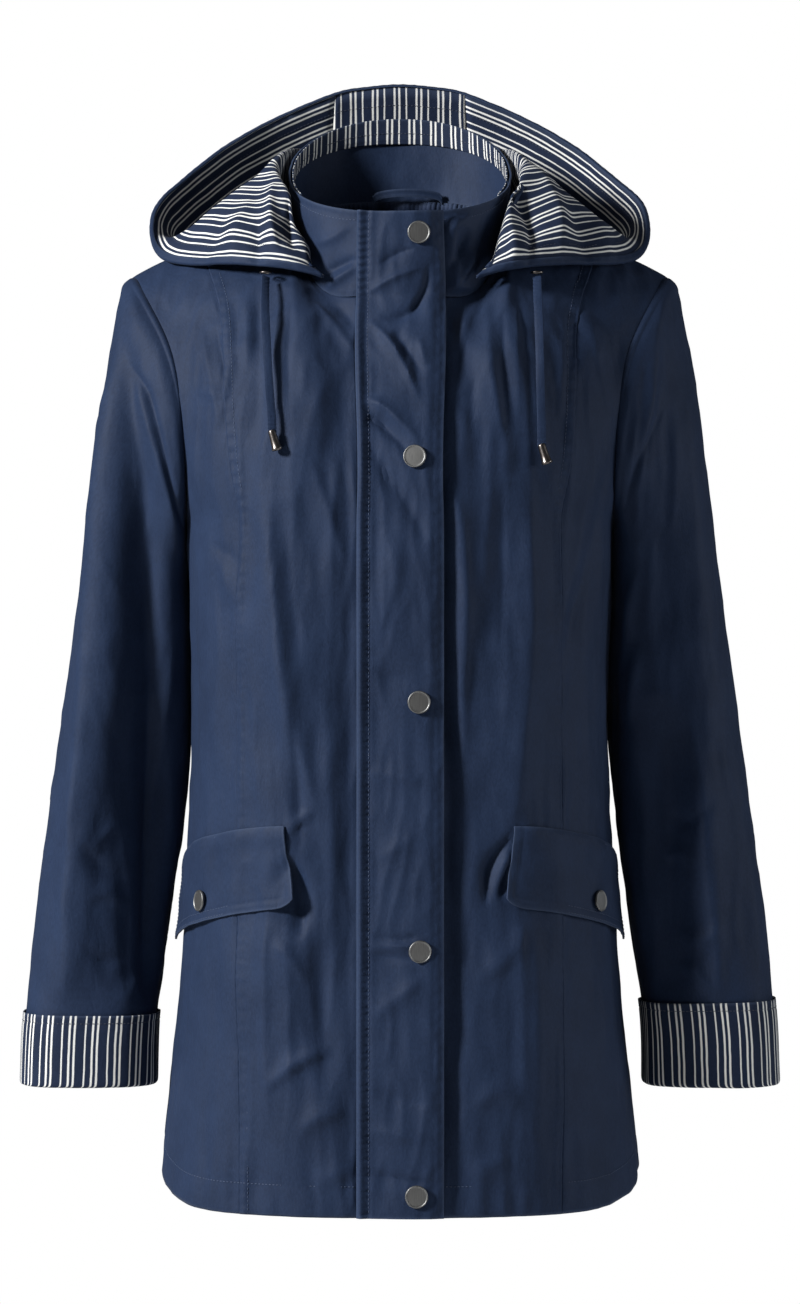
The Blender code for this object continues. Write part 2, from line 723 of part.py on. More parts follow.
for old in list(bpy.data.objects):
    bpy.data.objects.remove(old, do_unlink=True)
jacket = bpy.data.collections.new("hooded_jacket")
bpy.context.scene.collection.children.link(jacket)

canvas = material("navy canvas", (0.045, 0.063, 0.115), 0.7)
stripes = material("striped cotton", (0.32, 0.33, 0.36), 0.8)
lining = material("navy lining", (0.030, 0.042, 0.075), 0.6)
metal = material("dark metal", (0.20, 0.20, 0.20), 0.35, metallic=1.0)

torso_panels()
collar_pieces()
hood_pieces()
storm_flap()
snaps()
for side, name in ((-1, "right"), (1, "left")):
    arm(side, name)
    pocket_flap(side, name)
tie(TIE_RIGHT, "right")
tie(TIE_LEFT, "left")
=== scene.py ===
# %% [markdown]
# # A hooded jacket in navy canvas
# This lesson dresses a finished set of plain solids as a women's canvas jacket, worn and filled out.
# Each piece is flat cloth: a grid as wide and as long as the maker would cut it, laid on the jacket's form,
# smoothed, creased, and only then given its thickness.
# The solids come first, because every new piece takes their place.

# %% Load the frame
import math
from bisect import bisect_right
from collections import namedtuple

import bpy
import numpy as np
from mathutils import Matrix, Vector, noise
from mathutils.bvhtree import BVHTree
from mathutils.kdtree import KDTree


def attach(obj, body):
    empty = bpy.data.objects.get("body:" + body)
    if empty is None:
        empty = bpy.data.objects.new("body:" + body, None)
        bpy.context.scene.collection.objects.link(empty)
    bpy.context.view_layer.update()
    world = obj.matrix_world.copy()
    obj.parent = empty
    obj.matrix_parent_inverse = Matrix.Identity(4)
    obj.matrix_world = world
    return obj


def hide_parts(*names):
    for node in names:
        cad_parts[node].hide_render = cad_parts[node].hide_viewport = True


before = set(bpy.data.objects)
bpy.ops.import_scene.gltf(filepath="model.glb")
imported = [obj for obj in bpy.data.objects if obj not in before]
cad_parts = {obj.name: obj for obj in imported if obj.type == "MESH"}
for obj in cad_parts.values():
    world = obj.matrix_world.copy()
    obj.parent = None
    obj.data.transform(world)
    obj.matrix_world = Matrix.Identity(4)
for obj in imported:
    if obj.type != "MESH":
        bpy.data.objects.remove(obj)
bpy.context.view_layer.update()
bpy.ops.object.select_all(action="DESELECT")
MM = 0.001
print("solids:", len(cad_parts))

# %% [markdown]
# ## Camera and studio
# The camera stands three metres in front of the jacket, level, a little below the middle of its height.
# A large soft light from the left models the folds, a weaker one from the right opens the shadows, and one
# above lights the shoulders. The white room is seen by the camera but gives the cloth only a little light.
# One big bright room would be simpler, but it lights every side of a fold alike, and the folds vanish.

# %% Camera
VIEW_HEIGHT = 1.00408
VIEW_DISTANCE = 3.0
VIEW_Z = -0.317
bpy.ops.object.camera_add(location=(0, -VIEW_DISTANCE, VIEW_Z), rotation=(math.pi / 2, 0, 0))
camera = bpy.context.object
camera.data.sensor_fit = "VERTICAL"
camera.data.angle_y = 2 * math.atan(VIEW_HEIGHT / 2 / VIEW_DISTANCE)
bpy.context.scene.camera = camera

# %% Floor and lights
FLOOR_Z = -1.45
bpy.ops.mesh.primitive_circle_add(vertices=96, radius=3.4, fill_type="NGON", location=(0, 0, FLOOR_Z))
floor = bpy.context.object
floor.name = "studio_floor"


def lamp(name, place, aim, size, watts, colour=(1, 1, 1)):
    bpy.ops.object.light_add(type="AREA", location=place)
    light = bpy.context.object
    light.name = name
    light.data.shape = "DISK"
    light.data.size = size
    light.data.energy = watts
    light.data.color = colour
    light.rotation_euler = (Vector(aim) - Vector(place)).to_track_quat("-Z", "Y").to_euler()
    return light


lamp("key", (-3.06, -1.70, 1.26), (0, 0, -0.35), 0.8, 258)
lamp("fill", (3.4, -0.6, 0.2), (0, 0, -0.35), 2.0, 45, (0.92, 0.96, 1.0))
lamp("top", (-0.7, -0.9, 2.1), (0, 0, -0.1), 1.2, 5)

room = bpy.data.worlds.new("white room")
bpy.context.scene.world = room
room.use_nodes = True
nodes, links = room.node_tree.nodes, room.node_tree.links
ray, pick = nodes.new("ShaderNodeLightPath"), nodes.new("ShaderNodeMixShader")
links.new(ray.outputs["Is Camera Ray"], pick.inputs["Fac"])
# The cloth is lit by a dim white, and the camera sees a bright one
for socket, strength in ((1, 0.045), (2, 1.0)):
    white = nodes.new("ShaderNodeBackground")
    white.inputs["Color"].default_value = (1, 1, 1, 1)
    white.inputs["Strength"].default_value = strength
    links.new(white.outputs[0], pick.inputs[socket])
links.new(pick.outputs[0], nodes["World Output"].inputs["Surface"])
bpy.context.scene.view_settings.view_transform = "Standard"

# %% [markdown]
# ## The forms that the cloth lies on
# A jacket is drawn as a few smooth forms: the body, a sleeve, the stand collar and the fallen hood.
# Each is a short table of sections, read smoothly between its rows, so that every panel cut from the same
# form meets its neighbour along their seam. All of them are in millimetres.
# The forms could be sculpted too, but a table's row can be checked with a tape measure.

# %% Tables of the body, the armhole and the collar
def named(columns, *rows):
    """A table of numbers whose columns have names."""
    row_of = namedtuple("Row", columns)
    return [row_of(*row) for row in rows]


CANVAS, LINING = 1.6, 1.0
SEAM, SHOULDER_GAP, ARMHOLE_GAP, LAID_ON, LINING_GAP = 0.15, 0.3, 0.3, 1.0, 0.5
CHEST_Z, HEM_FRONT_Z, HEM_BACK_Z = -215, -733, -738
HEM_CORNER, HEM_CORNER_RISE = 110, 29
QUARTER_GIRTH, YOKE_HEIGHT, ROUNDNESS = 245, 200, 2.4
SIDE_ANGLE = math.radians(91.5)
PRINCESS_X, PRINCESS_SHOULDER, PLACKET_X, UNDERLAP_X = 119, 0.785, 32, 27
TORSO = named("z side front back",
    (-745, 185, 140, 140), (-708, 182, 138, 137), (-585, 170, 132, 130), (-500, 164.5, 128, 123),
    (-416, 160.5, 124, 117), (-354, 159.5, 123, 114), (-262, 162.5, 128, 115), (-215, 164, 128, 117),
)
ARMHOLE = named("turn x y z",
    (0, 207, 10, -27.5), (30, 195.5, -20, -48), (60, 174.5, -49, -90), (90, 165, -62, -135),
    (120, 162, -55, -178), (150, 162.5, -32, -205), (180, 164, 4, -215), (210, 163.5, 42, -205),
    (240, 165.5, 67, -178), (270, 170, 76, -138), (300, 180, 66, -92), (330, 196, 42, -50),
    (360, 207, 10, -27.5),
)
SHOULDER_TIP, SHOULDER_BOW = Vector((207, 10, -27.5)), 6.5
COLLAR_BASE, COLLAR_TOP = named("side front back front_z side_z back_z",
                                (82, 90, 76, -53, 8, 36), (86, 88, 82, 12, 52, 104))
NECK_DIP, DIP_X, DIP_WIDTH = 11, 56, 20
NECK_ROUNDNESS, NECK_SIDE, NECK_TURN = 2.2, math.radians(93), 0.5

# %% Tables of the sleeve and the hood
SLEEVE = named("down outer_x outer_z inner_x inner_z depth y",
    (0, 207, -27.5, 164, -215, 69, 8), (0.04, 216, -39, 164, -225, 71, 10),
    (0.08, 222, -64, 163, -234, 72, 14), (0.14, 227.5, -100, 161.5, -249, 71, 19),
    (0.26, 236, -170, 160, -284, 68, 25), (0.4, 247.5, -262, 159.3, -337, 63, 26),
    (0.55, 259, -350, 162.5, -402, 58, 22), (0.7, 269.5, -430, 168.8, -464, 54, 16),
    (0.85, 280, -512, 177.5, -524, 51, 11), (1, 288, -596, 187, -596, 49, 7),
    (1.1, 291, -650, 188, -650, 48, 5),
)
SLEEVE_HEAD, SLEEVE_END, SLEEVE_FLAT, SLEEVE_ROWS, HOOD_ROWS = 0.22, 1.096, 0.9, 1.35, 1.25
CUFF_PROUD = 2.0
CUFF_TOP = {"right": 0.995, "left": 0.977}
HOOD = named("place neck_deg roll x1 y1 z1 x2 y2 z2",
    (0, 41, 0, 64, -77, -29, 61, -80, -32), (0.1, 49, 0.34, 82, -72, -9, 87, -80, -20),
    (0.22, 60, 0.88, 92, -55, 17, 110, -62, -4), (0.34, 76, 1, 106, -30, 33, 134, -37, 7),
    (0.46, 93, 1, 114, 2, 47, 150, -2, 21), (0.55, 110, 1, 118, 42, 34, 160, 50, 2),
    (0.66, 132, 0.75, 108, 92, -26, 152, 112, -36), (0.8, 155, 0.35, 64, 119, -72, 102, 158, -76),
    (1, 180, 0.2, 0, 124, -92, 0, 172, -94),
)
HOOD.append(HOOD[-2]._replace(place=1.2, neck_deg=205, x1=-HOOD[-2].x1, x2=-HOOD[-2].x2))
HOOD_MOUTH = named("place x y z",
    (0, 57, -83, -35), (0.08, 82, -80, -30), (0.18, 112, -67, -25), (0.28, 139, -48, -22),
    (0.38, 163, -25, -20), (0.46, 184, -3, -13), (0.52, 192, 17, 3), (0.6, 189, 45, 32),
    (0.68, 168, 71, 56), (0.76, 134, 97, 87), (0.82, 96, 112, 110), (0.88, 52, 121, 130),
    (0.94, 26, 123, 135), (1, 0, 123, 137),
)
HOOD_MOUTH.append(HOOD_MOUTH[-2]._replace(place=1.06, x=-HOOD_MOUTH[-2].x))
HOOD_KNOTS, HOOD_SEAM, HOOD_GIRTH, HOOD_CLEAR = (0.0, 0.13, 0.40, 0.70, 1.0), 0.88, 330, 5.0


# %% Read a table smoothly
def hermite(start, leave, end, arrive, t, span=1.0):
    """The place at t between two ends, on a curve with a given slope at each."""
    return ((2*t**3 - 3*t**2 + 1) * start + (t**3 - 2*t**2 + t) * span * leave
            + (3*t**2 - 2*t**3) * end + (t**3 - t**2) * span * arrive)


def read(table, at):
    """The row of a table at a place between its rows, on a smooth curve; its first column is the place."""
    places = [row[0] for row in table]
    last = len(table) - 1
    at = min(max(at, places[0]), places[last])
    low = min(max(bisect_right(places, at) - 1, 0), last - 1)
    span = places[low + 1] - places[low]
    t = (at - places[low]) / span

    def slope(i):
        before, after = max(i - 1, 0), min(i + 1, last)
        run = places[after] - places[before]
        return [(b - a) / run for a, b in zip(table[before], table[after])]

    columns = zip(table[low], slope(low), table[low + 1], slope(low + 1))
    values = [hermite(*column, t, span) for column in columns]
    return type(table[0])(*values) if hasattr(table[0], "_fields") else values


def mix(a, b, t):
    return a + (b - a) * t


def ease(t):
    t = min(max(t, 0.0), 1.0)
    return t * t * (3 - 2 * t)


def smooth_route(points, count):
    """Points read from a smooth curve through the route's own points."""
    table = [(i, *point) for i, point in enumerate(points)]
    return [Vector(read(table, (len(points) - 1) * i / (count - 1))[1:]) for i in range(count)]


# %% Rounded outlines
def reach(angle, side, depth, power):
    """How far a rounded outline lies from its middle; the angle runs from the middle front."""
    return ((abs(math.sin(angle)) / side) ** power + (abs(math.cos(angle)) / depth) ** power) ** (-1 / power)


def angle_at(x, side, depth, power):
    """The angle at which the front of a rounded outline has this X."""
    return math.atan2(x, depth * (1 - (abs(x) / side) ** power) ** (1 / power))


def around(part, is_front, side_angle=SIDE_ANGLE):
    """The angle at a part of the way from the middle front, or from the middle back, to the side."""
    return part * side_angle if is_front else math.pi - part * (math.pi - side_angle)


# %% The body's form
def ring(z, angle):
    """The body's outline at a height; the angle runs from the middle front towards +X."""
    row = read(TORSO, z)
    far = reach(angle, row.side, row.front if math.cos(angle) > 0 else row.back, ROUNDNESS)
    return Vector((far * math.sin(angle), -far * math.cos(angle), z))


def front_angle(z, x):
    row = read(TORSO, z)
    return angle_at(x, row.side, row.front, ROUNDNESS)


def hem_z(part, is_front=True):
    """The hem's height, which rises to rounded corners at the side seams."""
    corner = max(0.0, 1 - (1 - part) * QUARTER_GIRTH / HEM_CORNER)
    return (HEM_FRONT_Z if is_front else HEM_BACK_Z) + HEM_CORNER_RISE * corner ** 2


def neck(angle, level, dip=NECK_DIP):
    """A point of the stand collar: level 0 is the neck seam and 1 the top edge."""
    low, high = COLLAR_BASE, COLLAR_TOP
    facing = "front" if math.cos(angle) > 0 else "back"
    depth = mix(getattr(low, facing), getattr(high, facing), level)
    far = reach(angle, mix(low.side, high.side, level), depth, NECK_ROUNDNESS)
    x, y = far * math.sin(angle), -far * math.cos(angle)
    heights = []
    for edge in (low, high):
        bend = ((edge.front_z - edge.side_z) / edge.front + (edge.back_z - edge.side_z) / edge.back)
        bend /= edge.front + edge.back
        lean = (edge.back_z - edge.side_z) / edge.back - bend * edge.back
        heights.append(edge.side_z + lean * y + bend * y * y)
    if y < 0:
        heights[0] -= dip * math.exp(-((abs(x) - DIP_X) / DIP_WIDTH) ** 2)
    return Vector((x, y, mix(*heights, level)))


def neck_angle(x):
    return angle_at(x, COLLAR_BASE.side, COLLAR_BASE.front, NECK_ROUNDNESS)


def armhole(deg):
    row = read(ARMHOLE, deg)
    return Vector((row.x, row.y, row.z))


def yoke(is_front, part, rise):
    """The body above the armhole's foot: part runs from its middle to the side, rise from 0 to 1."""
    foot = ring(CHEST_Z, around(part, is_front))
    if part <= NECK_TURN:
        top = neck(around(part / NECK_TURN, is_front, NECK_SIDE), 0)
    else:
        outwards = (part - NECK_TURN) / (1 - NECK_TURN)
        top = neck(NECK_SIDE, 0).lerp(SHOULDER_TIP, outwards)
        top.z += SHOULDER_BOW * math.sin(math.pi * outwards ** 1.6)
    # The cloth comes up steeply to the neck and lies almost level at the shoulder
    over = ease(part / NECK_TURN)
    to_back = mix(0.32, 1.0, over) if is_front else -mix(0.25, 1.0, over)
    arrive = Vector((0, to_back, mix(0.95, 0.1, over)))

    def column(foot, top, t):
        tall = (top - foot).length
        return hermite(foot, Vector((0, 0, tall)), top, arrive * tall, t)

    point = column(foot, top, rise)
    # Towards the side the cloth is drawn to the armhole's own edge
    edge = armhole(180 * (1 - rise) if is_front else 180 + 180 * rise)
    plain = column(ring(CHEST_Z, SIDE_ANGLE), SHOULDER_TIP, rise)
    return point + (edge - plain) * part ** 2.5


def torso(turn, rise):
    """turn: 0 middle front, 1 side at +X, 2 middle back, 3 side at -X; rise: 0 hem, 1 armhole's foot,
    2 shoulder and neck seam."""
    turn = (turn + 1) % 4 - 1
    is_front = turn <= 1
    part = turn if is_front else 2 - turn
    side = 1 if part >= 0 else -1
    part = abs(part)
    if rise > 1:
        point = yoke(is_front, part, rise - 1)
    else:
        point = ring(mix(hem_z(part, is_front), CHEST_Z, rise), around(part, is_front))
    point.x *= side
    return point


def turn_at(x, rise):
    """The turn at which the front has this X, followed up to the neck seam."""
    if rise > 1:
        return mix(front_angle(CHEST_Z, x) / SIDE_ANGLE, neck_angle(x) / NECK_SIDE * NECK_TURN, rise - 1)
    return front_angle(mix(HEM_FRONT_Z, CHEST_Z, rise), x) / SIDE_ANGLE


def princess(rise):
    """The turn of the princess seam, which swings out to the middle of the shoulder."""
    foot = front_angle(CHEST_Z, PRINCESS_X) / SIDE_ANGLE
    if rise > 1:
        return mix(foot, PRINCESS_SHOULDER, math.sin(math.pi / 2 * (rise - 1)) ** 1.1)
    return front_angle(mix(HEM_FRONT_Z, CHEST_Z, rise), PRINCESS_X) / SIDE_ANGLE


def rise_at(z, part):
    """The rise that lies at a height, on the front at a part of the way to the side."""
    hem = hem_z(part)
    return (z - hem) / (CHEST_Z - hem)


def opening(across_x, rise):
    """The front over the opening, carried on up the collar where the rise passes 2."""
    if rise <= 2:
        return torso(turn_at(across_x, rise), rise)
    return neck(neck_angle(across_x), rise - 2)


# %% The sleeve's and the hood's forms
def oval(row, across, depth):
    """A point of a cut through the sleeve, from shares of its width and its depth."""
    outer = Vector((row.outer_x, row.y, row.outer_z))
    inner = Vector((row.inner_x, row.y, row.inner_z))
    point = (outer + inner) / 2 + (outer - inner) / 2 * across
    point.y -= row.depth * depth
    return point


def sleeve(turn, down):
    """A point of the +X sleeve: turn 0 is its outer line and 0.25 its front; down runs from the armhole."""
    angle = 2 * math.pi * turn
    across, depth = math.cos(angle), math.sin(angle)
    # The front of a hanging sleeve is flatter than an ellipse
    flat = reach(angle, 1, 1, 2 + SLEEVE_FLAT * ease(down / 0.3)) if depth > 0 else 1
    point = oval(read(SLEEVE, down), across * flat, depth * flat)
    if down < SLEEVE_HEAD:
        shift = armhole(360 * (turn % 1)) - oval(SLEEVE[0], across, depth)
        point += shift * (1 - ease(down / SLEEVE_HEAD))
    return point


def hood(place, out):
    """A point of the hood: place 0 is the +X front corner, 1 the middle back and 2 the -X corner, and out
    runs from the neck seam to the mouth's edge."""
    side = 1
    if place > 1:
        side, place = -1, 2 - place
    row = read(HOOD, place)
    rim = read(HOOD_MOUTH, place)
    angle = math.radians(row.neck_deg)
    away = Vector((math.sin(angle), -math.cos(angle), 0)) * HOOD_CLEAR
    knots = [
        neck(angle, 0.0, dip=0) + away + Vector((0, 0, HOOD_CLEAR)),
        neck(angle, row.roll, dip=0) + away * mix(2.6, 1.3, row.roll) + Vector((0, 0, HOOD_CLEAR)),
        Vector((row.x1, row.y1, row.z1)), Vector((row.x2, row.y2, row.z2)), Vector((rim.x, rim.y, rim.z)),
    ]
    point = Vector(read([(at, *knot) for at, knot in zip(HOOD_KNOTS, knots)], out)[1:])
    point.x *= side
    return point


def lifted(form, u, v, lift, step=0.002):
    """A point of a form moved off it along its outward normal."""
    across_u = form(u + step, v) - form(u - step, v)
    across_v = form(u, v + step) - form(u, v - step)
    return form(u, v) + across_u.cross(across_v).normalized() * lift


def bend_at(share, at):
    """Move the middle of a 0-1 run so that `share` of its rows come before `at`."""
    return lambda u: u / share * at if u <= share else at + (u - share) / (1 - share) * (1 - at)


print("body girth at the chest:", round(4 * QUARTER_GIRTH), "mm")

# %% [markdown]
# ## Finishes
# The canvas is a tight cotton weave: two fine waves cross on the cloth's own flat map, longer slubs run
# along the warp, and the colour shifts a little from place to place. Folded edges are rubbed a shade paler.
# The lining is the same yarn with pale stripes woven in: a single line, then a pair, again and again.
# A picture of cloth could be wrapped on instead, but it would blur close up and its repeat would show. Nodes
# work the weave out at any size.

# %% Finish helpers
def bench(name, roughness, metallic=0.0):
    """A new finish, a helper that adds a node to it, and one that sets or links its shader's sockets."""
    finish = bpy.data.materials.new(name)
    finish.use_nodes = True
    tree = finish.node_tree

    def plug(node, sockets):
        for key, value in sockets.items():
            socket = node.inputs[int(key[1:])] if key[1:].isdigit() else node.inputs[key.replace("_", " ")]
            if isinstance(value, bpy.types.NodeSocket):
                tree.links.new(value, socket)
            else:
                socket.default_value = value
        return node

    def add(kind, settings=(), **sockets):
        node = tree.nodes.new("ShaderNode" + kind)
        for key, value in dict(settings).items():
            setattr(node, key, value)
        return plug(node, sockets)

    def shade(**sockets):
        plug(tree.nodes["Principled BSDF"], sockets)

    shade(Roughness=roughness, Metallic=metallic)
    return finish, add, shade


def maths(add, operation, a, b=0.0):
    return add("Math", {"operation": operation}, i0=a, i1=b).outputs[0]


def clouds(add, place, scale, detail=3.0, **more):
    return add("TexNoise", {}, Vector=place, Scale=scale, Detail=detail, **more).outputs[0]


def stretched(add, place, scale):
    return add("Mapping", {}, Vector=place, Scale=scale).outputs[0]


def between(add, share, dark, pale, ends=(0.0, 1.0)):
    """A tone between a dark and a pale colour."""
    ramp = add("ValToRGB", {}, Fac=share)
    for stop, at, colour in zip(ramp.color_ramp.elements, ends, (dark, pale)):
        stop.position, stop.color = at, (*colour, 1)
    return ramp.outputs[0]


def painted(add, share, colour, paint):
    """A colour, painted over by another where the share is high."""
    return add("Mix", {"data_type": "RGBA"}, Factor=share, i6=colour, i7=paint).outputs[2]


def embossed(add, *layers):
    """Bumps upon bumps: each layer has its height, its strength and its depth in millimetres."""
    below = {}
    for height, strength, depth in layers:
        bump = add("Bump", {}, Height=height, Strength=strength, Distance=depth * MM, **below)
        below = {"Normal": bump.outputs[0]}
    return below["Normal"]


# %% Cloth finishes
THREADS_PER_METRE = 2100
STRIPE_REPEAT = 17.6 * MM
# Each pale line of the stripe: its middle and its width, as parts of the repeat
STRIPE_LINES = ((0.04, 0.068), (0.36, 0.086), (0.575, 0.086))
STRIPE_EDGE, STRIPE_WOBBLE = 0.014, 0.9 * MM
STRIPE_PALE, RUBBED = (0.72, 0.72, 0.695, 1), (0.08, 0.11, 0.18, 1)


def weave(add, cloth_map):
    """The height of a plain weave, from -1 to 1, and the slub that runs along the warp."""
    split = add("SeparateXYZ", Vector=cloth_map)
    turns = THREADS_PER_METRE * math.pi
    warp, weft = (maths(add, "SINE", maths(add, "MULTIPLY", split.outputs[i], turns)) for i in (0, 1))
    slub = clouds(add, stretched(add, cloth_map, (700, 300, 1)), 1.0, Roughness=0.6)
    return split, maths(add, "MULTIPLY", warp, weft), slub


def pale_lines(add, along, cloth_map):
    """1 on the stripe's pale lines and 0 between them, each line a little unsteady."""
    wobble = clouds(add, cloth_map, 60.0, 2.0)
    shift = maths(add, "MULTIPLY", maths(add, "SUBTRACT", wobble, 0.5), STRIPE_WOBBLE)
    along = maths(add, "ADD", along, shift)
    lines = add("ValToRGB", {}, Fac=maths(add, "FRACT", maths(add, "DIVIDE", along, STRIPE_REPEAT)))
    stops = lines.color_ramp.elements
    stops[0].color = stops[1].color = (0, 0, 0, 1)
    for middle, width in STRIPE_LINES:
        for side in (-1, 1):
            for way in (-1, 1):
                at = middle + side * width / 2 + way * STRIPE_EDGE
                white = 1 if way != side else 0
                stops.new(min(max(at, 0.001), 0.999)).color = (white, white, white, 1)
    return lines.outputs[0]


def fabric(name, dark, pale, roughness, stripes=None):
    finish, add, shade = bench(name, roughness)
    cloth_map = add("UVMap", {"uv_map": "cloth"}).outputs[0]
    split, crossing, slub = weave(add, cloth_map)
    place = add("TexCoord").outputs["Object"]
    cloudy = clouds(add, place, 22.0, 4.0, Roughness=0.65)
    tone = maths(add, "ADD", maths(add, "MULTIPLY", slub, 0.5), maths(add, "MULTIPLY", cloudy, 0.5))
    colour = between(add, tone, dark, pale, (0.38, 0.62))
    if stripes:
        lines = pale_lines(add, split.outputs["XY".index(stripes)], cloth_map)
        colour = painted(add, lines, colour, STRIPE_PALE)
    worn = maths(add, "MULTIPLY", add("Attribute", {"attribute_name": "edge"}).outputs["Fac"], 0.22)
    hand = clouds(add, place, 420.0, 2.0)
    crush = clouds(add, stretched(add, place, (110, 110, 50)), 1.0, 4.0, Roughness=0.55, Distortion=0.8)
    shade(Base_Color=painted(add, worn, colour, RUBBED), Sheen_Weight=0.02, Sheen_Roughness=0.5,
          Specular_IOR_Level=0.12,
          Normal=embossed(add, (crossing, 0.35, 0.06), (hand, 0.5, 0.16), (crush, 0.6, 0.7)))
    return finish


NAVY_DARK, NAVY_PALE = (0.0098, 0.0188, 0.0450), (0.0144, 0.0270, 0.0630)
YARN_DARK, YARN_PALE = (0.0085, 0.0150, 0.0360), (0.0125, 0.0210, 0.0480)
canvas = fabric("navy canvas", NAVY_DARK, NAVY_PALE, 0.62)
stripes_across = fabric("stripes across", YARN_DARK, YARN_PALE, 0.75, stripes="X")
stripes_along = fabric("stripes along", YARN_DARK, YARN_PALE, 0.75, stripes="Y")
lining = fabric("navy lining", (0.0100, 0.0180, 0.0430), (0.0140, 0.0240, 0.0560), 0.7)
print("cloth finishes:", [m.name for m in (canvas, stripes_across, stripes_along, lining)])


# %% Thread, metal and board
def plain(name, colour):
    finish, add, shade = bench(name, 0.6)
    shade(Base_Color=(*colour, 1))
    return finish


def mottled(name, roughness, metallic, dark, pale, scale, brushed=None):
    """A finish whose tone wanders between two colours, in fine lines where it is brushed."""
    finish, add, shade = bench(name, roughness, metallic)
    place = add("TexCoord").outputs["Object"]
    tone = clouds(add, stretched(add, place, brushed) if brushed else place, scale)
    shade(Base_Color=between(add, tone, dark, pale))
    if brushed:
        shade(Normal=embossed(add, (tone, 0.25, 0.03)))
    return finish


thread = plain("sewing thread", (0.036, 0.056, 0.110))
pale_thread = plain("stripe thread", (0.025, 0.032, 0.055))
metal = mottled("satin metal", 0.48, 1.0, (0.14, 0.14, 0.14), (0.25, 0.25, 0.245), 1.0, (1600, 1600, 90))
bronze = mottled("dark bronze", 0.32, 1.0, (0.08, 0.070, 0.065), (0.26, 0.235, 0.22), 500.0)
board = mottled("painted board", 0.8, 0.0, (0.76, 0.76, 0.76), (0.82, 0.82, 0.82), 60.0)
floor.data.materials.append(board)

# %% [markdown]
# ## Laying cloth
# A real jacket is drafted flat. So each panel starts as a flat grid; every point is laid on the form, and it
# remembers how far it lies from each cut edge. Those distances make the flat map for the weave, the rolled
# seam, the rubbed edge and the line of stitches. Subdivision smooths the laid grid before it is creased.
# Cloth could also be simulated until it falls. A laid grid was chosen because its cut size stays true and
# its creases stay where the tables put them.

# %% Lay a flat grid on a form
def crowd(i, count, edge):
    """The place of column i of count, where the first and last columns are narrow."""
    if not edge or i == 0 or i == count:
        return i / count
    return mix(edge, 1 - edge, (i - 1) / (count - 2))


def press_on(piece, kind, levels=0, **settings):
    """Give a piece a modifier and apply it at once."""
    work = piece.modifiers.new(kind.title(), kind)
    if levels:
        work.levels = work.render_levels = levels
    for key, value in settings.items():
        setattr(work, key, value)
    bpy.context.view_layer.objects.active = piece
    bpy.ops.object.modifier_apply(modifier=work.name)


def weld(piece, face_out=False):
    """Merge the points of a piece that lie on one another, and turn its faces outwards where asked."""
    bpy.ops.object.select_all(action="DESELECT")
    piece.select_set(True)
    bpy.context.view_layer.objects.active = piece
    bpy.ops.object.mode_set(mode="EDIT")
    bpy.ops.mesh.select_all(action="SELECT")
    bpy.ops.mesh.remove_doubles(threshold=0.01 * MM)
    if face_out:
        bpy.ops.mesh.normals_make_consistent(inside=False)
    bpy.ops.object.mode_set(mode="OBJECT")


def lay(name, form, columns, rows, edge=0.0, ends=0.0, closed=False, fine=2):
    """A flat grid of cloth laid on form(u, v) in millimetres, smoothed; its edges keep their corners."""
    bpy.ops.mesh.primitive_grid_add(x_subdivisions=columns, y_subdivisions=rows, size=1)
    piece = bpy.context.object
    piece.name = piece.data.name = name
    mesh = piece.data
    steps = [(round((v.co.y + 0.5) * rows), round((v.co.x + 0.5) * columns)) for v in mesh.vertices]
    grid = np.zeros((rows + 1, columns + 1, 3))
    for vertex, (j, i) in zip(mesh.vertices, steps):
        grid[j, i] = form(crowd(i, columns, edge), crowd(j, rows, ends))
        vertex.co = Vector(grid[j, i]) * MM
    across = np.pad(np.linalg.norm(np.diff(grid, axis=1), axis=2), ((0, 0), (1, 0))).cumsum(axis=1)
    upwards = np.pad(np.linalg.norm(np.diff(grid, axis=0), axis=2), ((1, 0), (0, 0))).cumsum(axis=0)
    distances = {"start": across, "end": across[:, -1:] - across,
                 "foot": upwards, "head": upwards[-1:] - upwards}
    for key, table in distances.items():
        layer = mesh.attributes.new(key, "FLOAT", "POINT")
        layer.data.foreach_set("value", [table[step] for step in steps])
    flat_map = mesh.uv_layers[0]
    flat_map.name = "cloth"
    centred = across - across[:, columns // 2:columns // 2 + 1]
    for corner in mesh.loops:
        step = steps[corner.vertex_index]
        flat_map.data[corner.index].uv = (centred[step] * MM, upwards[step] * MM)
    if closed:
        weld(piece)
    press_on(piece, "SUBSURF", levels=fine, boundary_smooth="PRESERVE_CORNERS")
    piece.data.shade_smooth()
    area = np.linalg.norm(np.cross(grid[1:, :-1] - grid[:-1, :-1], grid[:-1, 1:] - grid[:-1, :-1]), axis=2)
    print("%s: %.0f x %.0f mm, %.4f m2" % (name, across[:, -1].max(), upwards[-1].max(), area.sum() * 1e-6))
    return piece


# %% Read and move a laid piece
def fetch(data, key, width):
    values = np.zeros(len(data) * width)
    data.foreach_get(key, values)
    return values.reshape(-1, width)


def places(piece):
    return fetch(piece.data.vertices, "co", 3) / MM


def outwards(piece):
    piece.data.update()
    return fetch(piece.data.vertex_normals, "vector", 3)


def distance(piece, edges):
    """How far each point lies from the nearest of some edges of its cut: start, end, foot and head."""
    layers = [piece.data.attributes[key].data for key in edges.split()]
    return np.min([fetch(layer, "value", 1)[:, 0] for layer in layers], axis=0)


def move_to(piece, spots):
    piece.data.vertices.foreach_set("co", (spots * MM).ravel())
    piece.data.update()


def move_out(piece, heights):
    """Move each point of a laid piece out along its normal, in millimetres."""
    move_to(piece, places(piece) + outwards(piece) * heights[:, None])


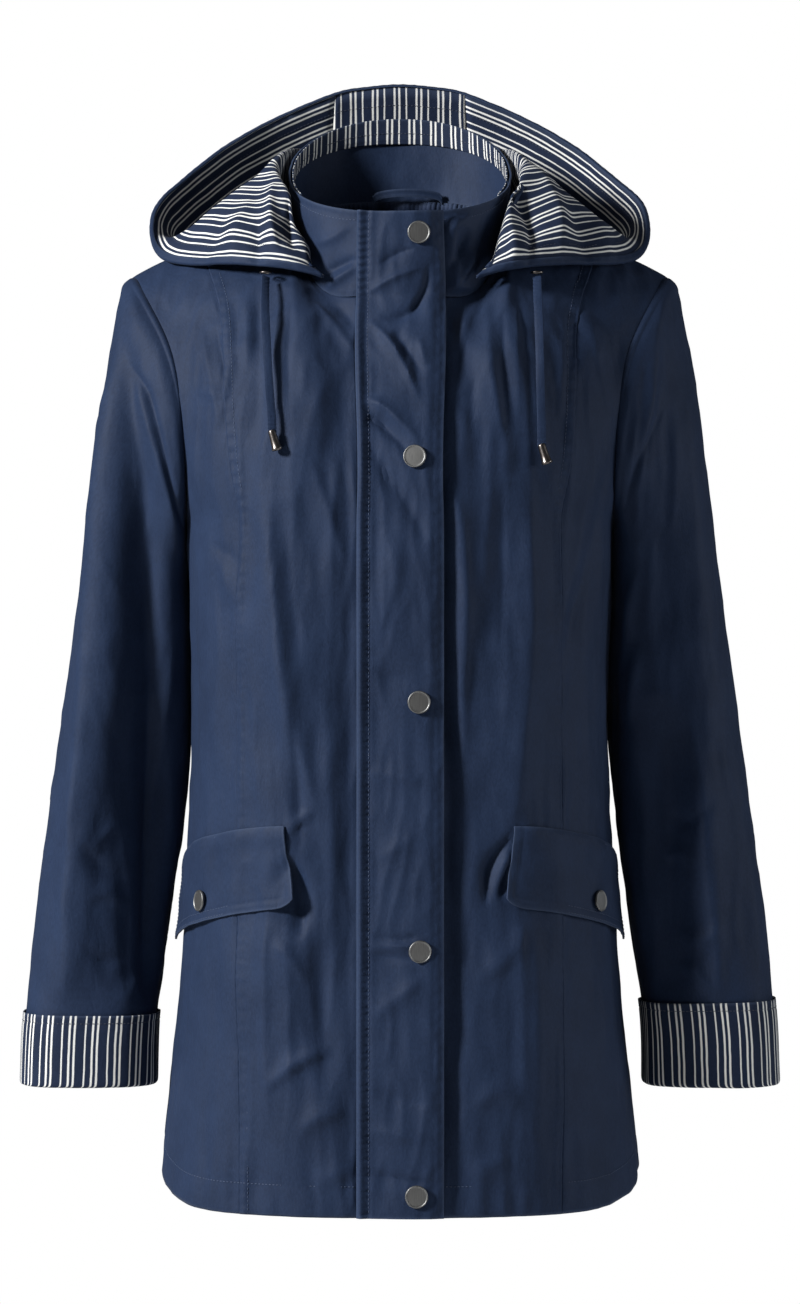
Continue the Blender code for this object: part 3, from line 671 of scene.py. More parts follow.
def soft(values):
    values = np.clip(values, 0, 1)
    return values * values * (3 - 2 * values)


def peak(values, at, width):
    """1 where the values lie at a place, and less and less on both sides of it."""
    return np.exp(-((values - at) / width) ** 2)


# %% Creases
Crease = namedtuple("Crease", "width height lean route")


def creases(*rows):
    """Creases from rows of width, height and lean, and then the x and z of each point of the route."""
    return [Crease(*row[:3], list(zip(row[3::2], row[4::2]))) for row in rows]


def creased(spots, table):
    """The height of a set of creases at points, as the front view shows them. Each follows a smooth route;
    lean makes it broad on the left of its route and steep on the right."""
    total, spots = np.zeros(len(spots)), spots[:, [0, 2]]
    for crease in table:
        route = np.array([tuple(p) for p in smooth_route(crease.route, 13)])
        run = route[1:] - route[:-1]
        off = spots[:, None, :] - route[None, :-1]
        t = np.clip((off * run).sum(2) / (run ** 2).sum(1), 0, 1)
        gap = off - t[..., None] * run
        gap = np.hypot(gap[..., 0], gap[..., 1])
        near = gap.argmin(1)
        row = np.arange(len(spots))
        turned_left = np.sign(run[near, 0] * off[row, near, 1] - run[near, 1] * off[row, near, 0])
        along = (near + t[row, near]) / len(run)
        fade = np.sin(np.pi * np.clip(along, 0, 1)) ** 0.8
        width = crease.width * (1 + crease.lean * turned_left) * (0.5 + 0.5 * fade)
        # A narrow crease has a crisp crest and a wide fold a round one
        crest = 0.03 + (crease.width / 22) ** 2
        fall = crest ** 0.5 - np.sqrt((gap[row, near] / width) ** 2 + crest)
        total += crease.height * fade * np.exp(1.5 * fall)
    return total


def rumple(spots, pitch_x, pitch_z, seed):
    """Soft unevenness of hanging cloth, from about -1 to 1."""
    scale = Vector((1 / pitch_x, 1 / pitch_x, 1 / pitch_z))
    shift = Vector((seed, seed * 1.7, seed * 2.3))
    return np.array([noise.noise(Vector(p) * scale + shift) for p in spots])


def crinkle(spots, pitch_x, pitch_z, seed):
    """Long fine creases with crisp crests, from about -1 to 0.5."""
    return 0.5 - 2.2 * abs(rumple(spots, pitch_x, pitch_z, seed))


def uneven(spots, *rows, crisp=()):
    """The sum of rumples, each a height, a pitch across and along and a seed, and of crisp crinkles."""
    waves = [(rumple, row) for row in rows] + [(crinkle, row) for row in crisp]
    return sum(height * wave(spots, *shape) for wave, (height, *shape) in waves)


def seen(facing, side, gain=1.7):
    """How squarely cloth faces the front (side -1) or the back (1), from 0 to 1."""
    return soft(side * facing[:, 1] * gain)


def seam_roll(away, allowance=7):
    """A sewn edge: the upper cloth stands over its allowance up to the stitches, the lower dips under."""
    return ((0.25 if allowance > 3 else -0.35) * peak(away, 0, 1.2)
            + 0.3 * soft((allowance + 2.5 - away) / 3.0) - 0.45 * peak(away, allowance, 1.3))


# %% Give cloth its thickness and its place in the jacket
# Each sheet's flat cut: its width and length in metres, and its area in square metres
CUTS = {row.sheet: row for row in named("sheet wide long area",
    ("front_right", 0.198, 0.793, 0.0732), ("front_left", 0.258, 0.796, 0.1129),
    ("side_front", 0.149, 0.772, 0.0749), ("back", 0.525, 0.793, 0.3410),
    ("sleeve", 0.525, 0.637, 0.1891), ("cuff", 0.338, 0.084, 0.0274),
    ("collar", 0.582, 0.068, 0.0307), ("collar_band", 0.378, 0.020, 0.0047),
    ("back_lining", 0.185, 0.117, 0.0180), ("hanger_loop", 0.061, 0.010, 0.0005),
    ("hood_side", 0.415, 0.471, 0.0723), ("hood_lining", 0.415, 0.471, 0.0723),
    ("hood_centre", 0.128, 0.486, 0.0450), ("hood_lining_centre", 0.128, 0.486, 0.0450),
    ("hood_casing", 0.947, 0.043, 0.0224), ("placket", 0.069, 0.754, 0.0486),
    ("flap", 0.167, 0.064, 0.0098),
)}


def belong(piece, finish):
    """Finish a piece and let it ride with the jacket. It is called after the solid that it replaces, with
    one word more; casing and stitches replace none."""
    piece.data.materials.clear()
    piece.data.materials.append(finish)
    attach(piece, "root")
    solid, _, kind = piece.name.rpartition("_")
    if kind in ("casing", "stitches"):
        solid = piece.name
    else:
        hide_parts(solid)
    piece.select_set(False)


RUBBED_WIDTH = 1.2


def make_up(piece, finish, folded="", thickness=CANVAS, bevel=0.0):
    """Give a laid piece its thickness, its finish and a paler colour where it is folded or cut."""
    if folded:
        layer = piece.data.attributes.new("edge", "FLOAT", "POINT")
        layer.data.foreach_set("value", peak(distance(piece, folded), 0, RUBBED_WIDTH))
    press_on(piece, "SOLIDIFY", thickness=thickness * MM, offset=-1.0)
    if bevel:
        press_on(piece, "BEVEL", width=bevel * MM, segments=2, limit_method="ANGLE", angle_limit=1.0)
    piece.data.shade_smooth()
    belong(piece, finish)


# %% [markdown]
# ## Stitching
# Each visible stitch is a short thread that sinks at both ends. One stitch is modelled, an array repeats it,
# and a curve modifier leads the row along its seam. The seam's line is first dropped onto the finished
# cloth, so the row follows every crease. A painted dashed line would be quicker, but it stays flat in a
# light from the side.

# %% Stitch rows
STITCH_PITCH, STITCH_LIFT, STITCH_THICK, STITCH_HALF = 3.0, 0.1, 0.32, 3.0 * 0.37


def new_object(name, data):
    piece = bpy.data.objects.new(name, data)
    bpy.context.collection.objects.link(piece)
    return piece


def skin(piece):
    """A search tree of a piece's faces, for dropping things onto it."""
    return BVHTree.FromPolygons([v.co / MM for v in piece.data.vertices],
                                [tuple(face.vertices) for face in piece.data.polygons])


def stitch_row(route, tree):
    """A row of stitches along a route in millimetres, dropped on a piece's skin."""
    found = [tree.find_nearest(point) for point in route]
    spots = [(spot + normal * STITCH_LIFT) * MM for spot, normal, _, _ in found]
    data = bpy.data.curves.new("line", "CURVE")
    data.dimensions = "3D"
    line = data.splines.new("POLY")
    line.points.add(len(spots) - 1)
    for knot, spot in zip(line.points, spots):
        knot.co = (*spot, 1)
    guide = new_object("line", data)
    bpy.ops.mesh.primitive_uv_sphere_add(segments=5, ring_count=4, radius=1, rotation=(0, math.pi / 2, 0))
    row = bpy.context.object
    row.scale = (STITCH_THICK * MM, STITCH_THICK * MM, STITCH_HALF * MM)
    row.location = (STITCH_PITCH / 2 * MM, 0, 0)
    bpy.ops.object.transform_apply(location=True, rotation=True, scale=True)
    count = max(2, int(length_of(spots) / (STITCH_PITCH * MM)))
    press_on(row, "ARRAY", count=count, use_relative_offset=False, use_constant_offset=True,
             constant_offset_displace=(STITCH_PITCH * MM, 0, 0))
    press_on(row, "CURVE", object=guide, deform_axis="POS_X")
    bpy.data.objects.remove(guide, do_unlink=True)
    row.data.shade_smooth()
    return row


def stitched(name, colour, routes):
    """One piece of stitching: a row for each route, given with the skin that it is sewn through."""
    rows = [stitch_row(route, tree) for route, tree in routes]
    bpy.ops.object.select_all(action="DESELECT")
    for row in rows:
        row.select_set(True)
    bpy.context.view_layer.objects.active = rows[0]
    if len(rows) > 1:
        bpy.ops.object.join()
    rows[0].name = rows[0].data.name = name + "_stitches"
    belong(rows[0], colour)


def length_of(route):
    return sum((b - a).length for a, b in zip(route, route[1:]))


def inset(form, at, away, end=0, step=0.02):
    """The point of a form `away` millimetres in from its start (end=0) or its end (end=1), at a height."""
    share = (form(abs(end - step), at) - form(end, at)).length / step
    return form(abs(end - away / share), at)


def inset_foot(form, u, away, end=0):
    return inset(lambda v, u: form(u, v), u, away, end, 0.01)


def run(count):
    return [i / count for i in range(count + 1)]


# %% Turned pieces
def turned(name, profile, steps, scale=1.0):
    """A closed turned piece: its profile (radius, height) in millimetres is drawn by extruding one point,
    and spun about Z."""
    knots = [Vector((radius * scale, 0, height)) * MM for radius, height in profile]
    bpy.ops.object.select_all(action="DESELECT")
    bpy.ops.mesh.primitive_plane_add(size=1, calc_uvs=False, location=(0, 0, 0))
    piece = bpy.context.object
    piece.name = piece.data.name = name
    bpy.ops.object.mode_set(mode="EDIT")
    bpy.ops.mesh.merge(type="CENTER")
    bpy.ops.transform.translate(value=knots[0])
    for knot, following in zip(knots, knots[1:]):
        bpy.ops.mesh.extrude_region_move(TRANSFORM_OT_translate={"value": following - knot})
    bpy.ops.mesh.select_all(action="SELECT")
    bpy.ops.mesh.spin(steps=steps, angle=2 * math.pi, center=(0, 0, 0), axis=(0, 0, 1))
    bpy.ops.object.mode_set(mode="OBJECT")
    weld(piece, face_out=True)
    piece.data.shade_smooth()
    return piece


def stand_on(piece, point, outward, finish=metal):
    """Move a turned piece's mesh so that its foot is at a point and its axis along a direction."""
    turn = outward.to_track_quat("Z", "Y").to_matrix().to_4x4()
    piece.data.transform(Matrix.Translation(point * MM) @ turn)
    belong(piece, finish)


# %% [markdown]
# ## Ties
# The hood's tie runs inside the casing at the mouth, and its two free ends hang from eyelets under the
# collar. It is a flat tape of the same canvas. Each end is made first, because its length is measured.
# A curve with a round bevel would make a cord. A tube laid round the route can be flat, and can twist as it
# falls. Its end is a bell, drawn as a profile and spun.

# %% Two free ends and their bells
TIE_WIDTH, TIE_THICK = 6.6, 1.9
TIE_TWIST = {"right": 0.5, "left": -0.35}
TIES = {
    "right": ((-101, -72, -35), (-101, -82, -47), (-100.5, -95, -66), (-99, -105, -92), (-97, -114, -120),
              (-95, -119.5, -143), (-94.5, -121, -155)),
    "left": ((103, -72, -35), (103, -82, -47), (103.5, -93, -66), (104, -102, -94), (104.5, -110, -124),
             (105, -115.5, -150), (105, -117.5, -165)),
}
BELL_TURN, BELL_REACH = Vector((0.30, -0.06, -0.95)).normalized(), 13.2
BELL_PROFILE = ((0, 15.2), (2.1, 15.2), (2.6, 14.9), (2.8, 14.0), (2.9, 12.0), (3.2, 7.0), (3.55, 3.0),
                (4.0, 1.6), (4.2, 0.8), (4.1, 0.1), (3.7, -0.1), (3.35, 0.6), (3.0, 5.0), (0, 5.4))


def tape_form(route, twist):
    """A flat tape round a route, its broad side turned to the front; twist is in radians at its top."""
    def form(u, v):
        at = (1 - v) * (len(route) - 1)
        i = min(int(at), len(route) - 2)
        middle = route[i].lerp(route[i + 1], at - i)
        along = (route[i + 1] - route[i]).normalized()
        turn = twist * (v ** 2) + 0.12 * math.sin(9 * v)
        broad = Vector((math.cos(turn), math.sin(turn), 0))
        broad = (broad - along * broad.dot(along)).normalized()
        flat = along.cross(broad).normalized()
        angle = 2 * math.pi * (1 - u)
        c, s = math.cos(angle), math.sin(angle)
        x = math.copysign(abs(c) ** 0.5, c) * TIE_WIDTH / 2
        dent = 1 - 0.18 * peak(abs(x), 2.4, 0.5)
        y = math.copysign(abs(s) ** 0.7, s) * TIE_THICK / 2 * dent
        return middle + broad * x + flat * y
    return form


for name, knots in TIES.items():
    route = smooth_route(knots, 60)
    tape = lay("tie_%s_tape" % name, tape_form(route, TIE_TWIST[name]), 24, 60, closed=True, fine=1)
    spots = places(tape)
    move_out(tape, 0.12 * np.sin(spots[:, 2] * 2 * math.pi / 3.1) + 0.25 * rumple(spots, 9, 12, 30))
    bell = turned("tip_%s_bell" % name, BELL_PROFILE, 28)
    stand_on(bell, route[-1] + BELL_TURN * BELL_REACH, -BELL_TURN, bronze)
    bpy.ops.mesh.primitive_torus_add(location=(route[0] + Vector((0, 3, 3.5))) * MM, major_segments=40,
                                     minor_segments=12, major_radius=4.0 * MM, minor_radius=0.8 * MM)
    eyelet = bpy.context.object
    eyelet.name = eyelet.data.name = "eyelet_%s_ring" % name
    bpy.ops.object.transform_apply(location=True, rotation=True, scale=True)
    eyelet.data.shade_smooth()
    belong(eyelet, bronze)
    belong(tape, canvas)
    length = length_of(route) * MM
    print("tie", name, round(length, 4), "m")


# %% [markdown]
# ## Body panels
# Five panels make the body: a back and, on each side, a front and a side front that meet at the princess
# seam. Long soft folds fall from the bust and the shoulders, small ones pull at the seams and the pockets.
# The folds are drawn as routes in the front view, because that is how a fitter pins them. They could be
# pushed into the mesh one by one, but a row of width, height and route is easier to move.

# %% Creases of the front
FRONT_CREASES = creases(
    # the broad fall from the bust on each side, and the hollow beside the storm flap
    (26, 5, 0.2, -74, -745, -80, -560, -84, -380, -84, -200, -76, -60),
    (9, -1.4, 0, -36, -740, -37, -560, -38, -380, -38, -200, -40, -100),
    (24, 3.5, 0, 100, -745, 98, -560, 92, -380, 90, -200, 84, -60),
    # wearer's right, from the middle outwards
    (7, 3.2, 0.2, -40, -252, -53, -212, -66, -172),
    (11, 3.6, 0.2, -61, -178, -60, -128, -65, -88, -67, -48),
    (12, 5.5, 0.25, -60, -440, -78, -366, -87, -304, -93, -242, -98, -190),
    (10, -3, 0, -74, -330, -80, -270, -84, -205),
    (3.6, -2.4, 0, -122, -105, -124, -45),
    (3.6, 2.2, 0, -114, -108, -115, -50),
    (3.8, -2.4, 0, -106, -105, -107, -46),
    (3.5, -2, 0.2, -130, -115, -139, -70),
    (5, 2, 0, -154, -120, -128, -126),
    (5, -2.4, 0.2, -141, -237, -119, -252),
    (7, 2.4, 0, -119, -284, -139, -238),
    (14, 2.2, 0, -131, -420, -137, -330, -143, -260),
    (3.2, 2.2, 0.3, -80, -452, -72, -441, -62, -438),
    (6, 3, 0.3, -98, -640, -75, -621, -50, -609),
    (8, 2.4, 0.3, -74, -672, -58, -660, -40, -655),
    (10, 2, 0, -50, -500, -52, -412, -54, -340),
    (6, -2.4, 0, -72, -470, -74, -412, -76, -350),
    (12, -3, 0, -54, -640, -57, -576, -58, -530),
    (20, 2.8, 0, -118, -610, -110, -560, -98, -515),
    (9, 1.8, 0.2, -62, -712, -45, -700, -34, -702),
    (9, -6, 0, -72, -528, -74, -498, -79, -468),
    (5, 2.6, 0.3, -34, -92, -48, -73, -64, -56),
    (5, -2.6, 0, -33, -76, -42, -63, -50, -55),
    (9, -2.6, 0, -42, -200, -43, -150, -42, -105),
    (10, -3.2, 0, -103, -165, -106, -100, -106, -40),
    (5, 2.2, 0, -94, -150, -93, -100, -91, -45),
    (4, -2, 0, -82, -140, -83, -100, -81, -50),
    (4.5, 1.8, 0, -134, -150, -142, -110, -150, -70),
    (5, 2, 0.2, -68, -560, -80, -540, -92, -533),
    # wearer's left, from the middle outwards
    (6, 3, 0, 39, -102, 47, -78, 57, -54),
    (5, -3, 0, 54, -160, 53, -135, 56, -112),
    (4.5, 2, 0.2, 88, -150, 86, -100, 87, -56),
    (5, -2, 0, 97, -140, 93, -90, 88, -50),
    (4, 1.6, 0, 118, -150, 122, -100, 124, -50),
    (7, -2.6, 0, 42, -125, 45, -94, 38, -69, 35, -45),
    (8, 4.6, 0.2, 47, -400, 46, -329, 48, -273, 45, -224, 36, -190),
    (8, 5.5, 0.3, 76, -160, 68, -103, 66, -56),
    (5, -3.5, 0, 79, -158, 77, -110, 77, -60),
    (10, 4, 0.2, 106, -180, 100, -119, 94, -52),
    (14, 5.5, 0.2, 82, -445, 89, -366, 94, -304, 94, -242, 88, -184),
    (10, -4, 0, 75, -310, 77, -242, 76, -192),
    (6, -2.4, 0, 119, -332, 142, -242, 157, -168),
    (8, 2.2, 0, 112, -322, 133, -240, 148, -172),
    (6, -2.6, 0, 127, -112, 135, -52),
    (6, 2, 0, 148, -98, 142, -55),
    (4.5, -4.5, 0, 63, -505, 67, -476, 82, -452),
    (4.5, -3, 0, 74, -500, 80, -472),
    (4, 2.5, 0, 70, -496, 79, -462),
    (22, 4.5, 0.3, 98, -745, 92, -620, 92, -515),
    (10, -3, 0, 38, -745, 38, -500, 37, -300, 38, -190),
    (9, 2.2, 0.2, 55, -560, 75, -545, 92, -520),
    (8, 1.8, 0, 52, -655, 70, -640, 88, -650),
    (8, 1.6, 0, 50, -700, 80, -690),
)
BACK_CREASES = creases(
    (22, 4.5, 0, 112, -745, 108, -560, 98, -420),
    (26, -4, 0, -8, -745, -5, -560, -10, -380),
    (22, 4.5, 0, -112, -745, -104, -580, -96, -430),
    (14, 3, 0.2, 150, -185, 105, -230, 60, -250),
    (14, 3, -0.2, -150, -185, -108, -228, -62, -255),
    (18, 2.5, 0, -60, -330, 0, -345, 62, -332),
    (14, -2, 0, -70, -300, 0, -312, 70, -302),
    (30, 3, 0, 60, -60, 62, -160, 58, -240),
    (30, 3, 0, -60, -60, -62, -160, -58, -240),
)

# %% Shape a body panel
def body_form(start, end, corner=None):
    """The cloth between two seams, each given as the turn at a rise. corner is the neck point's column."""
    def form(u, v):
        rise = bend_at(0.62, 0.5)(v) * (2 - SHOULDER_GAP / YOKE_HEIGHT)
        if corner:
            share, at = corner
            u = bend_at(share, (at - start(2)) / (end(2) - start(2)))(u)
        return torso(mix(start(rise), end(rise), u), rise)
    return form


def puckers(along, away, pitch=9.5, allowance=7):
    """Small ripples that the stitching draws into a seam's allowance."""
    ripple = np.sin(along * 2 * math.pi / pitch + 0.8 * np.sin(along / 17))
    return 0.5 * ripple * peak(away, allowance / 2, allowance / 1.6)


FOLD, HEM_TURN = 1.6, 23


def shape_body(piece, seams, holes):
    """Fold a laid body panel: creases by the view that they face, then soft unevenness, seams and hem."""
    spots, facing = places(piece), outwards(piece)
    # The chest is drawn flatter than the skirt
    calm = 0.58 + 0.42 * soft((-200 - spots[:, 2]) / 190)
    heights = FOLD * calm * seen(facing, -1) * creased(spots, FRONT_CREASES)
    heights += seen(facing, 1) * creased(spots, BACK_CREASES)
    heights += uneven(spots, (1.6, 34, 130, 3), (0.8, 18, 34, 8),
                      crisp=((1.1, 19, 120, 10), (0.5, 11, 46, 12)))
    # The cloth lies still where it is sewn to the sleeve, the other half of the shoulder and the collar
    for key in (*holes, "head"):
        heights *= soft((distance(piece, key) + 1) / 13)
    hem = distance(piece, "foot")
    for key, allowance in seams.items():
        away = distance(piece, key)
        heights += seam_roll(away, allowance)
        if allowance > 3:
            heights += puckers(hem, away)
    heights += -0.5 * peak(hem, 0, 1.5) - 0.45 * peak(hem, HEM_TURN, 2.0)
    heights += 0.3 * np.sin(distance(piece, "start") / 2.6) * peak(hem, 12, 9)
    move_out(piece, heights)


# %% Cut and fold the five body panels
HALF_SEAM = SEAM / 2 / QUARTER_GIRTH
SIDE_TURN = 1 - ARMHOLE_GAP / 2 / QUARTER_GIRTH


def front_edge(x, sign):
    return lambda rise: sign * turn_at(x, rise)


def princess_line(sign, shift):
    return lambda rise: sign * (princess(rise) + shift)


# name, form, columns, sewn edges with their allowance, edges at the sleeve
BODY = [
    ("front_right", body_form(princess_line(-1, -HALF_SEAM), front_edge(PLACKET_X, -1), (4 / 9, -NECK_TURN)),
     13, {"start": 7, "end": 1}, ()),
    ("front_left", body_form(front_edge(-UNDERLAP_X, 1), princess_line(1, -HALF_SEAM), (6 / 10, NECK_TURN)),
     18, {"end": 7}, ()),
    ("side_front_right", body_form(lambda rise: -SIDE_TURN, princess_line(-1, HALF_SEAM)),
     11, {"end": 1, "start": 1}, ["start"]),
    ("side_front_left", body_form(princess_line(1, HALF_SEAM), lambda rise: SIDE_TURN),
     11, {"start": 1, "end": 1}, ["end"]),
    ("back", body_form(lambda rise: 2 - SIDE_TURN, lambda rise: 2 + SIDE_TURN),
     26, {"start": 1, "end": 1}, ["start", "end"]),
]
body_forms, body_skins = {}, {}
for name, form, columns, seams, holes in BODY:
    panel = lay(name + "_cloth", form, columns, 60, edge=0.5 / columns, ends=0.012)
    shape_body(panel, seams, holes)
    make_up(panel, canvas, "foot")
    body_forms[name], body_skins[name] = form, skin(panel)


# %% [markdown]
# ## Sleeves and turned-up cuffs
# A sleeve is one tube whose cap is eased into the armhole. It hangs with a long crest on its front and a
# trough beside it. The cuff is the sleeve's striped facing: it comes down the inside, turns round the foot
# and stands up outside. A second tube round the foot could stand for it, but then its turned edge would be
# open, and the edge is what shows.

# %% Creases of the sleeves
SLEEVE_CREASES = creases(
    # wearer's right: a sharp crest near the outer edge, a deep trough inside it, a lit ridge by the armhole
    (21, 10, -0.6, -255, -620, -254, -543, -250, -467, -240, -391, -234, -315, -229, -247, -224,
     -187, -219, -126, -213, -73, -207, -15),
    (28, -9, 0, -184, -640, -188, -500, -192, -420, -196, -350),
    (15, -11, 0, -176, -600, -182, -503, -186, -391, -191, -315, -195, -247, -197, -187, -202,
     -126, -208, -70),
    (8, 3.5, 0.2, -168, -262, -172, -215, -176, -190, -188, -150, -199, -112),
    (4, -3, 0, -166, -225, -171, -200, -180, -159, -191, -119, -206, -98),
    (5, -1.6, 0, -244, -462, -228, -480, -208, -490),
    (5, 1.6, 0.3, -236, -505, -222, -500, -206, -515),
    (5, 1.4, 0, -234, -470, -220, -452, -200, -455),
    (5, -1.6, 0, -238, -540, -226, -552, -206, -548),
    (7, 3, 0.3, -214, -606, -206, -582, -192, -560),
    # wearer's left: a crest beside the armhole, then one lower down and farther out
    (8, 3.5, 0.3, 180, -200, 188, -140, 194, -88, 198, -35),
    (6, 2.2, 0, 174, -372, 177, -345, 182, -310),
    (16, -2.5, 0, 205, -330, 205, -235, 206, -150, 209, -85),
    (11, 6, -0.2, 245, -620, 239, -548, 233, -481, 229, -430, 222, -372),
    (18, -9, 0, 207, -600, 205, -500, 202, -420, 196, -350),
    (5, -2.5, 0, 168, -215, 182, -170, 200, -130),
    (5, 2.5, 0, 170, -330, 174, -290, 178, -255),
    (14, -2.4, 0, 264, -560, 258, -480, 250, -390, 242, -300),
    (6, -2.4, 0, 240, -430, 222, -446, 206, -440),
    (6, 2.4, 0, 246, -520, 230, -536, 210, -530),
    (5, 2.2, 0.3, 240, -585, 226, -560, 208, -556),
    (5, 2, 0, 226, -480, 212, -470, 200, -476),
)
SLEEVE_BACK_CREASES = creases(
    (16, 5, 0, 244, -600, 232, -460, 208, -330, 196, -200),
    (9, -3, 0.2, 196, -410, 222, -395, 250, -370),
    (10, 3, 0.2, 190, -440, 220, -425, 256, -400),
)
SLEEVE_BACK_CREASES += [
    crease._replace(route=[(-x, z) for x, z in crease.route]) for crease in SLEEVE_BACK_CREASES
]
# The wearer's right is at -X
SIDES = ((-1, "right"), (1, "left"))
SLEEVE_DOWN, SLEEVE_FOLD, TURNED_UP = 540, 1.5, 56
CUFF_INSIDE, CUFF_UNDER = 20, 3.0
# Past the armhole's seam the sleeve turns in, towards a point inside the shoulder
ARMHOLE_HEART, ALLOWANCE, ALLOWANCE_AT = Vector((120, 8, -120)), 7, 0.98

# %% Make the sleeves and cuffs
def mirrored(point, side):
    return Vector((point.x * side, point.y, point.z))


def sleeve_form(side):
    def form(u, v):
        point = sleeve((1 - u) * side, SLEEVE_END * max(0.0, 1 - v / ALLOWANCE_AT) ** SLEEVE_ROWS)
        point.x += ARMHOLE_GAP / 2
        if v > ALLOWANCE_AT:
            inwards = (v - ALLOWANCE_AT) / (1 - ALLOWANCE_AT) * ALLOWANCE
            point += (ARMHOLE_HEART - point).normalized() * inwards
        return mirrored(point, side)
    return form


def cuff_form(side, top):
    """The turned-up facing: up the inside of the sleeve's foot, round it, and up outside. Also its run."""
    outside = (SLEEVE_END - top) * SLEEVE_DOWN
    radius = (CUFF_PROUD + CUFF_UNDER) / 2
    turn = math.pi * radius

    def form(u, v):
        way = v * (CUFF_INSIDE + turn + outside)
        below, up = 0.0, 0.0
        if way < CUFF_INSIDE:
            lift, up = -CUFF_UNDER, CUFF_INSIDE - way
        elif way < CUFF_INSIDE + turn:
            angle = (way - CUFF_INSIDE) / radius
            lift = CUFF_PROUD - radius * (1 + math.cos(angle))
            below = radius * math.sin(angle) * 0.8
        else:
            up = way - CUFF_INSIDE - turn
            lift = CUFF_PROUD + 0.3 * ease(up / outside)
        down = min(SLEEVE_END - 0.002, SLEEVE_END - up / SLEEVE_DOWN)
        point = lifted(lambda turn, down: sleeve(turn * side, down), 1 - u, down, side * lift)
        point.z -= below
        return mirrored(point, side)
    return form, CUFF_INSIDE + turn + outside


for side, name in SIDES:
    long_sleeve = lay("sleeve_%s_cloth" % name, sleeve_form(side), 28, 46, ends=0.02, closed=True)
    spots, facing = places(long_sleeve), outwards(long_sleeve)
    heights = SLEEVE_FOLD * seen(facing, -1) * creased(spots, SLEEVE_CREASES)
    heights += seen(facing, 1) * creased(spots, SLEEVE_BACK_CREASES)
    heights += uneven(spots, (1.3, 36, 90, 60 + side), (0.7, 16, 30, 70 + side),
                      crisp=((0.9, 18, 90, 74 + side), (0.5, 10, 34, 76 + side)))
    cap, foot = distance(long_sleeve, "head") - ALLOWANCE, distance(long_sleeve, "foot")
    heights *= soft((foot - TURNED_UP) / 26) * soft(cap / 14)
    heights += 3.4 * soft(facing[:, 2] * 1.6) * peak(cap, 0, 13)
    heights += 0.8 * peak(cap, 7, 5) - 0.5 * peak(cap, 0, 1.3)
    # A tube's two side edges are sewn to each other, and the distances there are smoothed to half
    under_seam = abs(distance(long_sleeve, "start") - distance(long_sleeve, "end")) / 2
    move_out(long_sleeve, heights - 0.8 * peak(under_seam, 0, 1.5))
    make_up(long_sleeve, canvas)

    form, run_up = cuff_form(side, CUFF_TOP[name])
    cuff = lay("cuff_%s_cloth" % name, form, 40, 22, closed=True, fine=1)
    top_edge = distance(cuff, "head")
    heights = 0.9 * rumple(places(cuff), 26, 60, 80 + side) * soft((run_up - top_edge - CUFF_INSIDE) / 12)
    move_out(cuff, heights - 0.35 * peak(top_edge, 6, 1.2))
    make_up(cuff, stripes_across, "head", LINING)
    stitched("cuff_" + name, pale_thread, [([form(u, 1 - 6 / run_up) for u in run(90)], skin(cuff))])


# %% [markdown]
# ## Stand collar
# The collar stands as a ring that is open at the front. Inside its back a striped band faces it, the lining
# is gathered into the neck seam, and a short strap makes the hanger loop. Each could be modelled by itself,
# but all are laid from the neck's form, so they fit into one another.

# %% Collar, facing band, gathers and hanger loop
COLLAR_START, COLLAR_STOP = -neck_angle(UNDERLAP_X), 2 * math.pi - neck_angle(PLACKET_X - 2)
GATHER_DEPTH, GATHER_COUNT = 1.2, 24
STRAP, = named("x half_length y low high hump", (6, 27, 66.5, 35, 41, 6))
BAND_FROM, BAND_TO, GATHER_FROM, GATHER_TO = (math.radians(deg) for deg in (62, 298, 124, 236))
COLLAR_HEIGHT = 43


def stand(u, v):
    return neck(mix(COLLAR_START, COLLAR_STOP, u), mix(0.006, 1.0, v))


def band_form(u, v):
    low = mix(0.86, 0.71, max(0.0, math.sin(math.pi * u)) ** 0.6)
    return lifted(neck, mix(BAND_FROM, BAND_TO, u), mix(low, 0.995, v), -(CANVAS + LAID_ON))


def gathered(u, v):
    angle = mix(GATHER_FROM, GATHER_TO, u)
    top = neck(angle, 0.03)
    top -= Vector((top.x, top.y, 0)).normalized() * 4.5
    turn = 2 - (math.pi - angle) / (math.pi - NECK_SIDE) * NECK_TURN
    foot = lifted(torso, turn, 1.55, -(CANVAS + 9))
    return foot.lerp(top, v) + Vector((0, GATHER_DEPTH * math.sin(GATHER_COUNT * angle) * ease(v / 0.6), 0))


def strap_form(u, v):
    bow = max(0.0, math.sin(math.pi * u))
    return Vector((STRAP.x + STRAP.half_length * (1 - 2 * u), STRAP.y - 3 * bow,
                   mix(STRAP.low, STRAP.high, v) + STRAP.hump * bow ** 0.35))


COLLAR_CREASES = creases(
    (4, -3.6, 0, -58, -33, -45, -27, -32, -22),
    (4, 4, 0, -56, -44, -45, -36, -32, -28),
    (5, 2.4, 0.2, -62, -10, -50, -6, -38, 2),
    (4, 5, 0.2, 40, -45, 50, -30, 58, -14),
    (4.5, -5.2, 0, 36, -32, 46, -14, 52, 2),
    (6, 4, 0.5, 38, -54, 42, -30, 40, -4, 44, 16),
    (4, 2.8, 0.2, 34, -48, 44, -44, 56, -44),
    (5, 2.2, 0.2, 34, -2, 44, 4, 56, 18),
    (6, -2.6, 0, 60, -34, 66, -6, 70, 16),
    (5, 1.6, 0, -72, -4, -74, 12, -76, 26),
)

